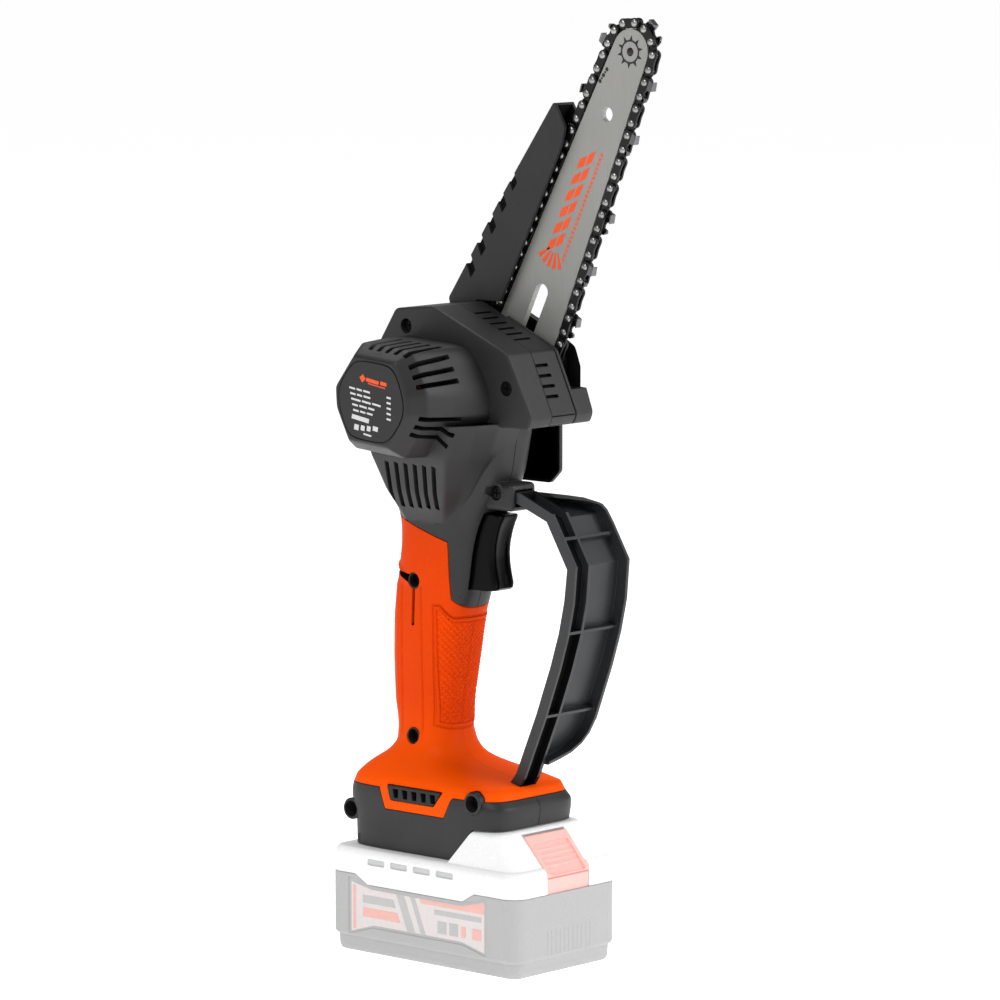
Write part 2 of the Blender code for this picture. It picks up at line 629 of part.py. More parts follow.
def soft_ring(z, rear, front, right, left, power, inset=0.0, count=32):
    """A level superellipse ring; a high power gives squarer corners."""
    middle, half = (rear + front) / 2, (front - rear) / 2 - inset
    ring = []
    for i in range(count):
        angle = 2 * math.pi * (i + 0.5) / count
        c, s = math.cos(angle), math.sin(angle)
        size = (abs(c) ** power + abs(s) ** power) ** (-1 / power)
        reach = (left - inset) if s > 0 else (-right - inset)
        ring.append((middle + half * c * size, reach * s * size, z))
    return ring


def belt(circles, step):
    """Points on a closed belt run round circles (x, z, radius), each a step apart.

    The circles go counter-clockwise. Returns the points, their directions and the length.
    """
    runs = []
    count = len(circles)
    tangents = []
    for i in range(count):
        (x1, z1, r1), (x2, z2, r2) = circles[i], circles[(i + 1) % count]
        gap = Vector((x2 - x1, z2 - z1))
        heading = math.atan2(gap.y, gap.x) + math.asin((r1 - r2) / gap.length)
        tangents.append((heading, math.sqrt(gap.length ** 2 - (r1 - r2) ** 2)))
    for i in range(count):
        x, z, radius = circles[i]
        start = tangents[i - 1][0]
        turn = (tangents[i][0] - start) % (2 * math.pi)
        runs.append(("arc", x, z, radius, start, turn))
        heading, length = tangents[i]
        foot = (x + radius * math.sin(heading), z - radius * math.cos(heading))
        runs.append(("line", *foot, heading, length, 0.0))
    total = sum(run[3] * run[5] if run[0] == "arc" else run[4] for run in runs)
    points, headings = [], []
    count = round(total / step)
    for i in range(count):
        left = total * i / count
        for kind, a, b, c, d, e in runs:
            length = c * e if kind == "arc" else d
            if left <= length:
                break
            left -= length
        if kind == "arc":
            heading = d + (left / c if c else 0.0)
            points.append((a + c * math.sin(heading), b - c * math.cos(heading)))
        else:
            heading = c
            points.append((a + left * math.cos(c), b + left * math.sin(c)))
        headings.append(heading)
    return points, headings, total


def belt_circles(drive_at, offset=0.0):
    """The four rounds that the chain's rivet line follows, offset outwards."""
    shoulder_radius = 24.0
    shoulder = BAR_BASE_HALF + RIVET_LIFT - shoulder_radius
    drive, nose = along_bar(drive_at), along_bar(0)
    front, rear = along_bar(BAR_BASE_AT, shoulder), along_bar(BAR_BASE_AT, -shoulder)
    return [(drive.x, drive.z, DRIVE_RADIUS + offset), (front.x, front.z, shoulder_radius + offset),
            (nose.x, nose.z, NOSE_RADIUS + RIVET_LIFT + offset), (rear.x, rear.z, shoulder_radius + offset)]


def drive_distance():
    """How far the drive sprocket lies from the nose for the loop to hold its links exactly."""
    near, far = 170.0, 230.0
    while far - near > 1e-6:
        middle = (near + far) / 2
        if belt(belt_circles(middle), 1.0)[2] < LINK_PITCH * LINK_COUNT:
            near = middle
        else:
            far = middle
    return near


# ---------------------------------------------------------------- tool body

# Level sections of the grip, neck and foot: height, rear, front, right, left, squareness
BODY_SECTIONS = [
    (FOOT_BOTTOM_Z, FOOT_REAR, FOOT_FRONT, -FOOT_HALF_WIDTH, FOOT_HALF_WIDTH, 6.5),
    (66.0, FOOT_REAR - 0.5, FOOT_FRONT, -FOOT_HALF_WIDTH, FOOT_HALF_WIDTH, 6.5),
    (73.0, -57.4, 42.4, -30.3, 30.3, 6.5),
    (80.0, -57.4, 42.4, -30.3, 30.3, 6.5),
    (84.5, -55.6, 38.5, -29.5, 29.5, 5.5),
    (86.5, -54.8, 22.0, -27.5, 27.5, 4.5),
    (88.5, -53.5, 10.0, -25.5, 25.5, 4.0),
    (91.5, -50.0, 2.0, -22.5, 22.5, 3.4),
    (95.0, -44.5, -2.0, -19.5, 19.5, 3.0),
    (100.0, -40.0, -5.4, -17.0, 17.0, 2.9),
    (107.0, -39.9, -7.2, -16.0, 16.0, 2.8),
    (120.0, -41.5, -6.6, -15.8, 15.8, 2.8),
    (140.0, -42.4, -2.9, -16.4, 16.4, 2.8),
    (160.0, -42.1, 0.6, -16.8, 16.8, 2.8),
    (176.0, -40.5, 6.0, -17.0, 17.0, 2.8),
    (196.0, -37.6, 9.0, -17.3, 17.0, 2.8),
    (208.0, -37.9, 13.0, -17.8, 17.0, 2.9),
    (218.0, -42.0, 19.0, -18.4, 17.0, 3.4),
    (230.0, -44.5, 24.5, -18.6, 17.0, 4.0),
    (256.0, -46.0, 29.0, -18.8, 17.0, 5.0),
]

# Seam between the orange grip and the dark pieces, seen from the side
GRIP_REGION = [
    (-80, 222.5), (-80, ORANGE_BOTTOM_Z), (-32.4, ORANGE_BOTTOM_Z), (-28.6, 70.2), (8.6, 70.2),
    (13.0, 79.0), (14.5, ORANGE_BOTTOM_Z), (80, ORANGE_BOTTOM_Z), (80, 166.6), (4.5, 166.6),
    (-1.6, 172.6), (-1.6, 198.0),
]


def body_loft(name, inset=0.0, bottom=None, top=None):
    rings = []
    for z, rear, front, right, left, power in BODY_SECTIONS:
        if (bottom is None or z >= bottom) and (top is None or z <= top):
            rings.append(soft_ring(z, rear, front, right, left, power, inset))
    return loft(name, rings)


def drum_ring(y, reach, height, count=36):
    """A softly six-sided ring across the motor's axis."""
    ring = []
    for i in range(count):
        angle = 2 * math.pi * (i + 0.5) / count
        sides = [abs(math.cos(angle - DRUM_TURN - math.radians(turn))) for turn in (30, 90, 150)]
        size = sum(side ** 9 for side in sides) ** (-1 / 9)
        ring.append((MOTOR_X + reach / 1.1 * size * math.cos(angle), y,
                     MOTOR_Z + height * size * math.sin(angle)))
    return ring


def drum_loft(name, inset=0.0, end=-59.0):
    sections = [(end, 22.4, 20.3), (-50.5, 28.0, 25.4), (-18.0, 34.0, 27.0), (-2.0, 34.0, 27.0)]
    return loft(name, [drum_ring(y, reach - inset, height - inset) for y, reach, height in sections])


def chin_loft(name, inset=0.0):
    """The louvred cup that joins the motor's drum to the neck."""
    sections = [(208, -37, -2, -16.5), (214, -38, 3, -21), (226, -40, 8, -29.5), (242, -42, 14, -38),
                (256, -40, 16, -40)]
    return loft(name, [soft_ring(z + inset * (i == 0), rear, front, right, 4, 2.6, inset)
                       for i, (z, rear, front, right) in enumerate(sections)])


def head_helpers():
    """Outer and inner shapes that the six shells share."""
    outline = counter_clockwise(HEAD_OUTLINE)
    shapes = {
        "head": plate("shape_head", outline, HEAD_RIGHT_Y, HEAD_LEFT_Y),
        "head_room": plate("room_head", grown(outline, -WALL), HEAD_RIGHT_Y + WALL, HEAD_LEFT_Y - WALL),
        "drum": drum_loft("shape_drum"),
        "chin": chin_loft("shape_chin"),
        "chin_room": chin_loft("room_chin", WALL),
        "motor_room": rod("room_motor", (MOTOR_X, -56.0, MOTOR_Z), (MOTOR_X, 2, MOTOR_Z), 21.8, 32),
        "boss": block("shape_boss", (12, -8.8, 214.2), (32.3, 8.8, 227.2)),
        "body_room": body_loft("room_body", WALL, 79.0),
        "foot_room": plate("room_foot", rounded_box((FOOT_REAR + 3, -26.8), (FOOT_FRONT - 3, 26.8), 7),
                           FOOT_BOTTOM_Z - 5, 82.0, flat="XY"),
        "right_half": block("half_right", (-100, -90, 20), (100, -FIT, 340)),
        "left_half": block("half_left", (-100, FIT, 20), (100, 90, 340)),
        "grip_region": plate("region_grip", GRIP_REGION[::-1], -60, 60),
        "grip_region_wide": plate("region_grip_wide", grown(counter_clockwise(GRIP_REGION), GAP), -60, 60),
        "under_front": plate("step_foot", [(14.5, 40), (14.5, FOOT_BOTTOM_Z), (26.5, FOOT_STEP_Z),
                                           (60, FOOT_STEP_Z), (60, 40)], -60, 60),
        "guard_socket": block("socket_guard", (25.3, -6.3, 216.4), (41, 5.9, 224.3)),
        "guard_foot_socket": guard_strip("socket_guard_foot", [(45.0, 105.0), (37.2, 88.5), (29.3, 77.0)],
                                         GUARD_DEPTH + GAP, -GAP, -6.1, 5.8),
        "trigger_slot": block("slot_trigger", (-6, -8.3, 175.2), (40, 8.3, 212.6)),
        "switch_room": block("room_switch", (-34, -11, 172), (2, 11, 214)),
    }
    return shapes


def drum_slots():
    """Cooling slots over the drum's upper flank and three below its plain band."""
    slots = []
    for i in range(8):
        angle = math.radians(100 - 11.5 * i)
        slots.append((angle, 9.0))
    for i in range(3):
        angle = math.radians(-16 - 11.5 * i)
        slots.append((angle, 9.0))
    made = []
    for i, (angle, reach) in enumerate(slots):
        centre = Vector((MOTOR_X + 28 * math.cos(angle), -42.0, MOTOR_Z + 28 * math.sin(angle)))
        slot = block(f"slot_drum_{i}", (-reach, -13, -1.2), (reach, 13, 1.2))
        slot.data.transform(Matrix.Translation(centre * MM) @ Matrix.Rotation(-angle, 4, "Y"))
        made.append(slot)
    return made


def chin_slots():
    """Six upright louvres in the cup below the drum."""
    made = []
    for i in range(6):
        x = -33.5 + 5.6 * i
        made.append(block(f"slot_chin_{i}", (x - 1.3, -50, 215 - i * 0.4), (x + 1.3, -15, 235)))
    return made


def build_housing(shapes, side):
    """One dark clamshell half: head, drum or chain side, and neck."""
    right = side == "right"
    shell = body_loft(f"housing_{side}", bottom=160.0)
    PARTS.objects.link(shell)
    CUTTERS.objects.unlink(shell)
    join(shell, shapes["head"], shapes["boss"])
    if right:
        join(shell, shapes["drum"], shapes["chin"])
    keep(shell, shapes[f"{side}_half"])
    cut(shell, shapes["grip_region_wide"], shapes["body_room"], shapes["head_room"])
    if right:
        cut(shell, shapes["chin_room"], shapes["motor_room"], *drum_slots(), *chin_slots())
        cut(shell, plate("recess_rating", plate_outline(0.3), -61, -58.2))
    for screw in SCREWS[:3]:
        bore_for_screw(shell, *screw, side)
    cut(shell, shapes["guard_socket"], shapes["trigger_slot"], shapes["switch_room"])
    if not right:
        fit_left_half(shell)
    return finish(shell, dark_nylon(), smooth=True)


def fit_left_half(shell):
    """The left half's clamp pad for the bar and its holes for shaft, stud, button, cap and pins."""
    pad = plate("pad_bar", counter_clockwise(flat([along_bar(147, -11), along_bar(147, 4), along_bar(167, 4),
                                                   along_bar(167, -11)])), 12.0, 22.4)
    join(shell, pad)
    cut(shell, rod("hole_shaft", drive_point(5), drive_point(30), 4.4),
        rod("seat_bearing", drive_point(8.7), drive_point(14.3), 8.3, 24),
        rod("hole_bar_stud", along_bar(STUD_AT, y=12), along_bar(STUD_AT, y=30), 3.2, 16),
        rod("hole_pin_guard", (GUARD_PIVOT[0], 14.4, GUARD_PIVOT[1]), (GUARD_PIVOT[0], 30, GUARD_PIVOT[1]), 2.3, 16),
        block("hole_button", (-16.3, 8, 205.2), (-4.7, 30, 212.8)),
        rod("hole_oil", (-30, 7.2, 273.0), (-60, 7.2, 273.0), 4.5, 20),
        block("room_tank", (-43.0, 1.0, 261.5), (-34.0, 13.5, 286.5)))


def build_grip(shapes, side):
    """One orange half: the grip and the top of the foot."""
    shell = body_loft(f"grip_{side}", top=230.0, bottom=70)
    PARTS.objects.link(shell)
    CUTTERS.objects.unlink(shell)
    join(shell, body_loft(f"shape_foot_{side}", top=81.0))
    keep(shell, shapes[f"{side}_half"], shapes["grip_region"])
    cut(shell, shapes["body_room"], shapes["foot_room"], shapes["guard_foot_socket"], grille_opening(side))
    sign = -1 if side == "right" else 1
    for i, (x, z, end) in enumerate(FOOT_BOSSES):
        cut(shell, rod(f"tube_room_{side}_{i}", (x, sign * 20.0, z), (x, sign * 40.0, z), 4.6 + GAP, 16))
    for screw in SCREWS[3:]:
        bore_for_screw(shell, *screw, side)
    return finish(shell, orange_nylon(), smooth=True)


def build_foot(shapes, side):
    """One dark half of the foot's ring, with the rail that carries the battery."""
    shell = body_loft(f"foot_{side}", top=84.5)
    PARTS.objects.link(shell)
    CUTTERS.objects.unlink(shell)
    keep(shell, shapes[f"{side}_half"])
    cut(shell, shapes["grip_region_wide"], shapes["foot_room"], shapes["under_front"])
    sign = -1 if side == "right" else 1
    ys = sorted((sign * 19.6, sign * 28.5))
    rail = block(f"rail_{side}", (-48, ys[0], 52.0), (13.5, ys[1], 55.6))
    join(shell, rail)
    for i, (x, z, end) in enumerate(FOOT_BOSSES):
        tube = rod(f"tube_{side}_{i}", (x, sign * (end - 8.6), z), (x, sign * end, z), 4.6, 16)
        hole = rod(f"tube_hole_{side}_{i}", (x, sign * (end - 6.6), z), (x, sign * 40.0, z), 3.2, 16)
        join(shell, tube)
        cut(shell, hole, rod(f"tube_pilot_{side}_{i}", (x, sign * 8.0, z), (x, sign * end, z), 2.05, 12))
    return finish(shell, dark_nylon(), smooth=True)


def plate_outline(extra=0.0):
    return [(x, z) for x, y, z in drum_ring(0.0, 20.6 + extra, 18.6 + extra, 24)]


def build_rating_plate():
    piece = plate("rating_plate", plate_outline(-0.3), -58.9, -58.4, PARTS)
    return finish(piece, plate_black())


# ---------------------------------------------------------------- cover, bar and chain

def build_sprocket_cover():
    """The outer cover on the bar's side, with a skirt below that wraps the drive sprocket."""
    skirt = [(-34, 262), (-34, 240), (-26, 227), (-16, 223.6), (21, 223.6), (27, 229.6), (27, 262)]
    cover = plate("sprocket_cover", counter_clockwise(HEAD_OUTLINE), COVER_INNER_Y, COVER_OUTER_Y, PARTS)
    slant = plate("slant_cover", [(53, 28.0), (60, 28.0), (60, 60.0), (8, 60.0), (8, 35.6), (20, 35.6)], 200, 340,
                  flat="XY")
    cut(cover, slant)
    join(cover, plate("shape_skirt", counter_clockwise(skirt), 18.6, 33.2))
    cut(cover, plate("room_cover", grown(counter_clockwise(COVER_ROOM), -WALL), COVER_INNER_Y - 2, 32.4),
        plate("room_skirt", grown(counter_clockwise(skirt), -1.6), 17, 31.4),
        block("slot_guard_top", (-52, 16, 293.5), (6, 32.2, 330)),
        plate("slot_bar_top", [(4, 330), (4, 285), (33, 272), (34.5, 272), (60, 272), (60, 330)], 18.6, 31.6),
        rod("hole_stud", along_bar(STUD_AT, y=28), along_bar(STUD_AT, y=40), 3.4),
        rod("recess_knob", along_bar(STUD_AT, y=34.4), along_bar(STUD_AT, y=40), 11.4, 28))
    return finish(cover, dark_nylon(), smooth=True)


def bar_outline(extra=0.0, tail_at=BAR_TAIL_AT):
    """The guide bar's outline: round nose, widening sides and a clipped tail."""
    slope = math.atan2(BAR_BASE_HALF - NOSE_RADIUS, BAR_BASE_AT)
    tip = []
    for i in range(17):
        angle = math.pi - slope - (math.pi - 2 * slope) * i / 16
        reach = NOSE_RADIUS + extra
        tip.append(along_bar(-reach * math.sin(angle), reach * math.cos(angle)))
    sides = [(BAR_BASE_AT, BAR_BASE_HALF + extra), (BAR_BASE_AT + 10, BAR_BASE_HALF + extra - 0.9),
             (tail_at, BAR_TAIL_HALF + extra)]
    right = [along_bar(distance, half) for distance, half in sides]
    left = [along_bar(distance, -half) for distance, half in reversed(sides)]
    return counter_clockwise(flat(tip + right + left))


def slot_outline(first, last, radius):
    """A straight slot with round ends along the bar."""
    points = []
    for i in range(9):
        angle = math.pi * i / 8
        points.append(along_bar(first - radius * math.sin(angle), -radius * math.cos(angle)))
    for i in range(9):
        angle = math.pi * i / 8
        points.append(along_bar(last + radius * math.sin(angle), radius * math.cos(angle)))
    return flat(points)


def build_guide_bar():
    low, high = BAR_Y - BAR_THICKNESS / 2, BAR_Y + BAR_THICKNESS / 2
    hole = along_bar(32.3)
    bar = plate("guide_bar", [bar_outline(), slot_outline(126.0, 163.0, 4.0), circle((hole.x, hole.z), 3.4)],
                low, high, PARTS)
    groove = plate("groove_bar", [bar_outline(6.0, BAR_TAIL_AT + 20), bar_outline(-3.2, BAR_TAIL_AT + 20)],
                   BAR_Y - 0.65, BAR_Y + 0.65)
    nose_room = plate("room_nose", circle(NOSE, NOSE_RADIUS - 1.6, 28), BAR_Y - 0.65, BAR_Y + 0.65)
    cut(bar, groove, nose_room, rod("hole_nose", along_bar(0, y=15), along_bar(0, y=35), 2.2),
        rod("hole_tension", along_bar(169.0, 10.0, 15), along_bar(169.0, 10.0, 35), 2.2, 16))
    return finish(bar, bar_steel(), pivot=along_bar(STUD_AT))


def star(centre, root, tip, teeth, turn=0.0):
    points = []
    for i in range(teeth * 4):
        radius = tip if i % 4 in (0, 1) else root
        angle = turn + 2 * math.pi * (i - 0.5) / (teeth * 4)
        points.append((centre[0] + radius * math.cos(angle), centre[1] + radius * math.sin(angle)))
    return points


def build_nose_parts():
    hole = circle(NOSE, 2.6, 16)
    sprocket = plate("nose_sprocket", [star(NOSE, 6.6, 8.4, 10), hole], BAR_Y - 0.5, BAR_Y + 0.5, PARTS)
    finish(sprocket, chain_steel(), pivot=along_bar(0))
    rivet = turned("nose_rivet", [(0, 1.75), (1.9, 1.75), (1.9, 0.45), (2.1, 0.4), (2.1, -0.4), (1.9, -0.45),
                                  (1.9, -1.75), (0, -1.75)], along_bar(0), (0, 1, 0), 16, PARTS)
    finish(rivet, bright_steel())


def chain_band(name, inside, outside, width, collection=None):
    """A flat band along the rivet line between two offsets from it."""
    outer = belt(belt_circles(DRIVE_AT, outside), 4.2)[0]
    inner = belt(belt_circles(DRIVE_AT, inside), 5.0)[0]
    return plate(name, [outer, inner], BAR_Y - width / 2, BAR_Y + width / 2, collection)


def chain_outline():
    """The chain's outer edge: a cutter with its depth gauge on every fourth rivet."""
    points, headings, total = belt(belt_circles(DRIVE_AT), LINK_PITCH / 4)
    outline = []
    per_cutter = 16
    heights = {0: 2.6, 1: 2.6, 2: 4.6, 3: 3.2, 4: 2.6, 6: CUTTER_HEIGHT, 7: 4.6, 8: 2.6}
    for i, ((x, z), heading) in enumerate(zip(points, headings)):
        height = heights.get(i % per_cutter, STRAP_HALF if i % 2 == 0 else None)
        if height is not None:
            outline.append((x + height * math.sin(heading), z - height * math.cos(heading)))
    return outline


def build_saw_chain():
    inner = belt(belt_circles(DRIVE_AT, -STRAP_HALF), 5.0)[0]
    chain = plate("saw_chain", [chain_outline(), inner], BAR_Y - CHAIN_WIDTH / 2, BAR_Y + CHAIN_WIDTH / 2, PARTS)
    tongue = chain_band("tongue_chain", -4.4, -1.5, 0.9)
    on_bar = [along_bar(-30, -40), along_bar(-30, 40), along_bar(168, 40), along_bar(168, -40)]
    keep(tongue, plate("tongue_reach", counter_clockwise(flat(on_bar)), 10, 40))
    join(chain, tongue)
    return finish(chain, chain_steel(), pivot=along_bar(STUD_AT))


def build_chain_guard():
    """The hinged channel behind the chain: two cheeks, a stepped back and round hinge lugs."""
    back = [(-31.5, 309.0), (34.8, 404.0)]
    rise = Vector((back[1][0] - back[0][0], back[1][1] - back[0][1]))
    inward = Vector((rise.y, -rise.x)).normalized()
    steps = []
    for i in range(5):
        foot = Vector(back[0]) + rise * (0.13 + 0.13 * i)
        steps += [tuple(foot), tuple(foot + inward * 1.1), tuple(foot + rise * 0.07 + inward * 1.1)]
    cheek = [(1.4, 309.0), (39.6, 384.4), (41.6, 392.6), (38.2, 398.5)]
    lugs = [(-16.0, 303.0), (-16.4, 295.6), (-20.0, 293.0), (-25.0, 293.0), (-28.6, 297.0), (-29.5, 303.0)]
    outline = counter_clockwise(cheek + [back[1]] + steps[::-1] + [back[0]] + lugs[::-1] + [(-14.0, 309.0)])
    guard = plate("chain_guard", outline, 17.6, 31.4, PARTS)
    shift = inward * 1.7
    start = Vector(back[0]) + shift - rise * 0.05
    inside = [(start.x - 20, 270), tuple(start), tuple(Vector(back[1]) + shift + rise * 0.4), (90, 440), (90, 270)]
    cut(guard, plate("room_guard", counter_clockwise(inside), 19.3, 29.7),
        rod("hole_guard_pin", (GUARD_PIVOT[0], 10, GUARD_PIVOT[1]), (GUARD_PIVOT[0], 40, GUARD_PIVOT[1]), 2.3, 16))
    finish(guard, dark_nylon(), pivot=(GUARD_PIVOT[0], BAR_Y, GUARD_PIVOT[1]))
    pin = rod("guard_pin", (GUARD_PIVOT[0], 14.7, GUARD_PIVOT[1]), (GUARD_PIVOT[0], 32.1, GUARD_PIVOT[1]), 2.0, 16,
              collection=PARTS)
    finish(pin, bright_steel())


def build_bar_fixings():
    """Stud, round cover knob, tension block with its pin, and the tension screw."""
    stud_low, stud_high = along_bar(STUD_AT, y=12.2), along_bar(STUD_AT, y=35.0)
    finish(rod("bar_stud", stud_low, stud_high, 2.9, 16, collection=PARTS), bright_steel())
    knob = turned("cover_knob", [(0, 9.5), (9.0, 9.5), (10.8, 8.3), (10.8, 0.3), (0, 0.3)],
                  along_bar(STUD_AT, y=34.5), (0, 1, 0), 24, PARTS)
    wing = block("knob_wing", (-10.0, 42.0, -1.8), (10.0, 48.5, 1.8))
    wing.data.transform(Matrix.Translation(along_bar(STUD_AT, y=0) * MM))
    join(knob, wing)
    cut(knob, rod("knob_bore", along_bar(STUD_AT, y=30), along_bar(STUD_AT, y=36.5), 3.2, 16))
    finish(knob, black_plastic())


# ---------------------------------------------------------------- hand guard and controls

# ---------------------------------------------------------------- run

clear_scene()
PARTS = new_collection("pruning_chainsaw")
CUTTERS = new_collection("cutters")
CUTTERS.hide_render = True
DRIVE_AT = drive_distance()
SHAPES = head_helpers()
for half in ("right", "left"):
    build_housing(SHAPES, half)
    build_grip(SHAPES, half)
    build_foot(SHAPES, half)
build_rating_plate()
build_sprocket_cover()
build_guide_bar()
build_nose_parts()
build_saw_chain()
build_chain_guard()
build_bar_fixings()
build_hand_guard()
build_trigger()
build_drive_train()
build_inner_pieces()
build_oil_parts()
build_tensioner()
build_vent_grilles()
build_battery()
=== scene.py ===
"""Looks of the cordless pruning chainsaw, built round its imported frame.

Lengths are in millimetres and are turned into metres as each mesh is made. The frame is the CAD's:
the origin is the centre of the battery's underside, +X is forward, +Y the tool's left, +Z up.
"""

import math
import random

import bmesh
import bpy
from mathutils import Matrix, Vector


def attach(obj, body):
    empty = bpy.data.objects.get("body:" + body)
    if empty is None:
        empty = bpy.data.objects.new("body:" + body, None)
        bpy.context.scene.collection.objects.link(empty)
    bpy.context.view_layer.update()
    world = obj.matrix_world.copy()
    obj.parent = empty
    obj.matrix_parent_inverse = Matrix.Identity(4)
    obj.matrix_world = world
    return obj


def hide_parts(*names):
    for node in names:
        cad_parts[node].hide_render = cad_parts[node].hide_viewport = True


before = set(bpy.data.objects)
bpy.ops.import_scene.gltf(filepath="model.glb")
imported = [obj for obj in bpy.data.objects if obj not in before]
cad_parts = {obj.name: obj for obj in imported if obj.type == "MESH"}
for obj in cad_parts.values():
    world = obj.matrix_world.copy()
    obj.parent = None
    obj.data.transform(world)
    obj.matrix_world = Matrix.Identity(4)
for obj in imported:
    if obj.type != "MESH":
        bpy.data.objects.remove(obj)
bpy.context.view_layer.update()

MM = 0.001
SIDES = (("right", -1), ("left", 1))
SEAM = 0.18  # half the gap between the clamshell halves
GROOVE = 0.55  # dark gap between the orange grip and its dark neighbours

# Tool body
WALL = 2.6
HEAD_RIGHT_Y, HEAD_LEFT_Y = -18.8, 17.0
COVER_INNER_Y, COVER_OUTER_Y = 17.4, 35.5
FOOT_BOTTOM_Z, FOOT_STEP_Z, ORANGE_BOTTOM_Z = 50.7, 66.6, 80.2
MOTOR_X, MOTOR_Z, DRUM_TURN = -10.0, 267.0, math.radians(-5.0)
DRUM_FACES = [(30, 1.0), (90, 1.0), (150, 1.0), (8, 0.982)]  # turns of the drum's flats and their closeness
HEAD_OUTLINE = [(-44, 246), (-49, 262), (-46.5, 284), (-32, 306.5), (-8.3, 308.8),
                (36, 289.2), (50, 259.5), (47.5, 254.6), (22, 254.2), (10, 246)]
HEAD_PEAK, HEAD_BROW, HEAD_TIP = HEAD_OUTLINE[4:7]
COVER_ROOM = HEAD_OUTLINE[:5] + [(24, 295.1), (34, 272), (34, 254.4)] + HEAD_OUTLINE[8:]
DRUM_END_Y = -59.0
OIL_CAP_Y, OIL_CAP_Z = 7.2, 273.0
SCREW_HOLES = {"head_rear": (-25.0, 298.5), "head_front": (35.0, 272.8), "boss": (22.5, 222.6),
               "grip_top": (-22.6, 178.0), "grip_low": (-23.5, 103.8)}
FOOT_BOSSES = [(27.0, 79.0, 30.6), (-54.0, 66.5, 27.0)]
FAR_BOSS_DEPTH = 2.4  # how much less the left foot's screw tubes stand out
GRILLE = [(-27.6, 81.9), (7.6, 81.9), (2.4, 74.6), (-25.2, 74.6)]

# Bar and chain
BAR_Y, BAR_THICKNESS = 24.5, 3.2
NOSE, BAR_LEAN = (76.8, 428.1), math.radians(25.5)
NOSE_RADIUS, BAR_BASE_HALF, BAR_BASE_AT, BAR_TAIL_HALF, BAR_TAIL_AT = 10.6, 18.2, 150.0, 14.5, 173.0
RIVET_LIFT, LINKS_DRAWN, CHAIN_PHASE, DRIVE_RADIUS, DRIVE_AT = 2.9, 36, 17.27, 16.2, 194.182
TOOTHED = [*range(0, 25, 2), 27, 29, 31, 34]  # links that carry a cutter, in turn on the near and far side
STUD_AT = 158  # the cover knob's stud, measured from the nose
GUARD_PIVOT = (-22.0, 299.0)
BAR_DOWN = Vector((-math.sin(BAR_LEAN), 0.0, -math.cos(BAR_LEAN)))
BAR_SIDE = Vector((math.cos(BAR_LEAN), 0.0, -math.sin(BAR_LEAN)))

# Battery pack
BATTERY_LENGTH, BATTERY_WIDTH, SPLIT_Z, DIP_Z, TOP_Z, HUMP_TOP_Z = 120.4, 73.9, 38.0, 33.6, 50.3, 66.0
LATCH_HALF = 14.5

# Level sections of the grip, neck and foot: height, rear, front, right, left, squareness
BODY_SECTIONS = [
    (50.7, -54.0, 41.0, -30.3, 30.3, 6.5), (66.0, -54.5, 41.0, -30.3, 30.3, 6.5),
    (73.0, -57.4, 42.4, -30.3, 30.3, 6.5), (76.6, -57.4, 42.4, -30.3, 30.3, 6.5),
    (80.2, -57.0, 39.4, -30.0, 29.6, 6.0), (84.5, -55.6, 37.4, -29.2, 29.2, 5.5),
    (86.5, -54.8, 29.0, -27.5, 27.5, 4.5), (88.5, -53.5, 19.0, -25.5, 25.5, 4.0),
    (91.5, -50.0, 5.0, -22.5, 22.5, 3.4), (95.0, -44.5, -2.0, -19.5, 19.5, 3.0),
    (100.0, -40.0, -5.4, -17.0, 17.0, 2.9), (107.0, -39.9, -7.2, -16.0, 16.0, 2.8),
    (120.0, -41.5, -6.6, -15.8, 15.8, 2.8), (140.0, -42.4, -2.9, -16.4, 16.4, 2.8),
    (160.0, -42.1, 0.6, -16.8, 16.8, 2.8), (176.0, -40.5, 6.0, -17.0, 17.0, 2.8),
    (196.0, -37.6, 9.0, -17.3, 17.0, 2.8), (208.0, -37.9, 13.0, -17.8, 17.0, 2.9),
    (218.0, -42.0, 19.0, -18.4, 17.0, 3.4), (230.0, -44.5, 24.5, -18.6, 17.0, 4.0),
    (256.0, -46.0, 29.0, -18.8, 17.0, 5.0)]
GRIP_REGION = [
    (-80, 222.5), (-80, ORANGE_BOTTOM_Z), (-32.4, ORANGE_BOTTOM_Z), (-28.6, 70.2), (8.6, 70.2),
    (13.0, 79.0), (14.5, ORANGE_BOTTOM_Z), (80, ORANGE_BOTTOM_Z), (80, 163.6), (4.5, 163.6),
    (-1.6, 170.4), (-1.6, 198.0)]

# Front face of the hand guard seen from the side, and its make-up
GUARD_LINE = [(25.6, 223.6), (35.0, 223.2), (55.0, 215.2), (69.2, 191.5), (67.6, 174.0), (64.2, 158.5),
              (59.0, 142.0), (50.0, 118.0), (37.4, 88.5), (31.5, 80.6)]
GUARD_DEPTH, GUARD_LIP = 5.4, 2.4
GUARD_RIBS = (204.0, 160.0, 119.5)

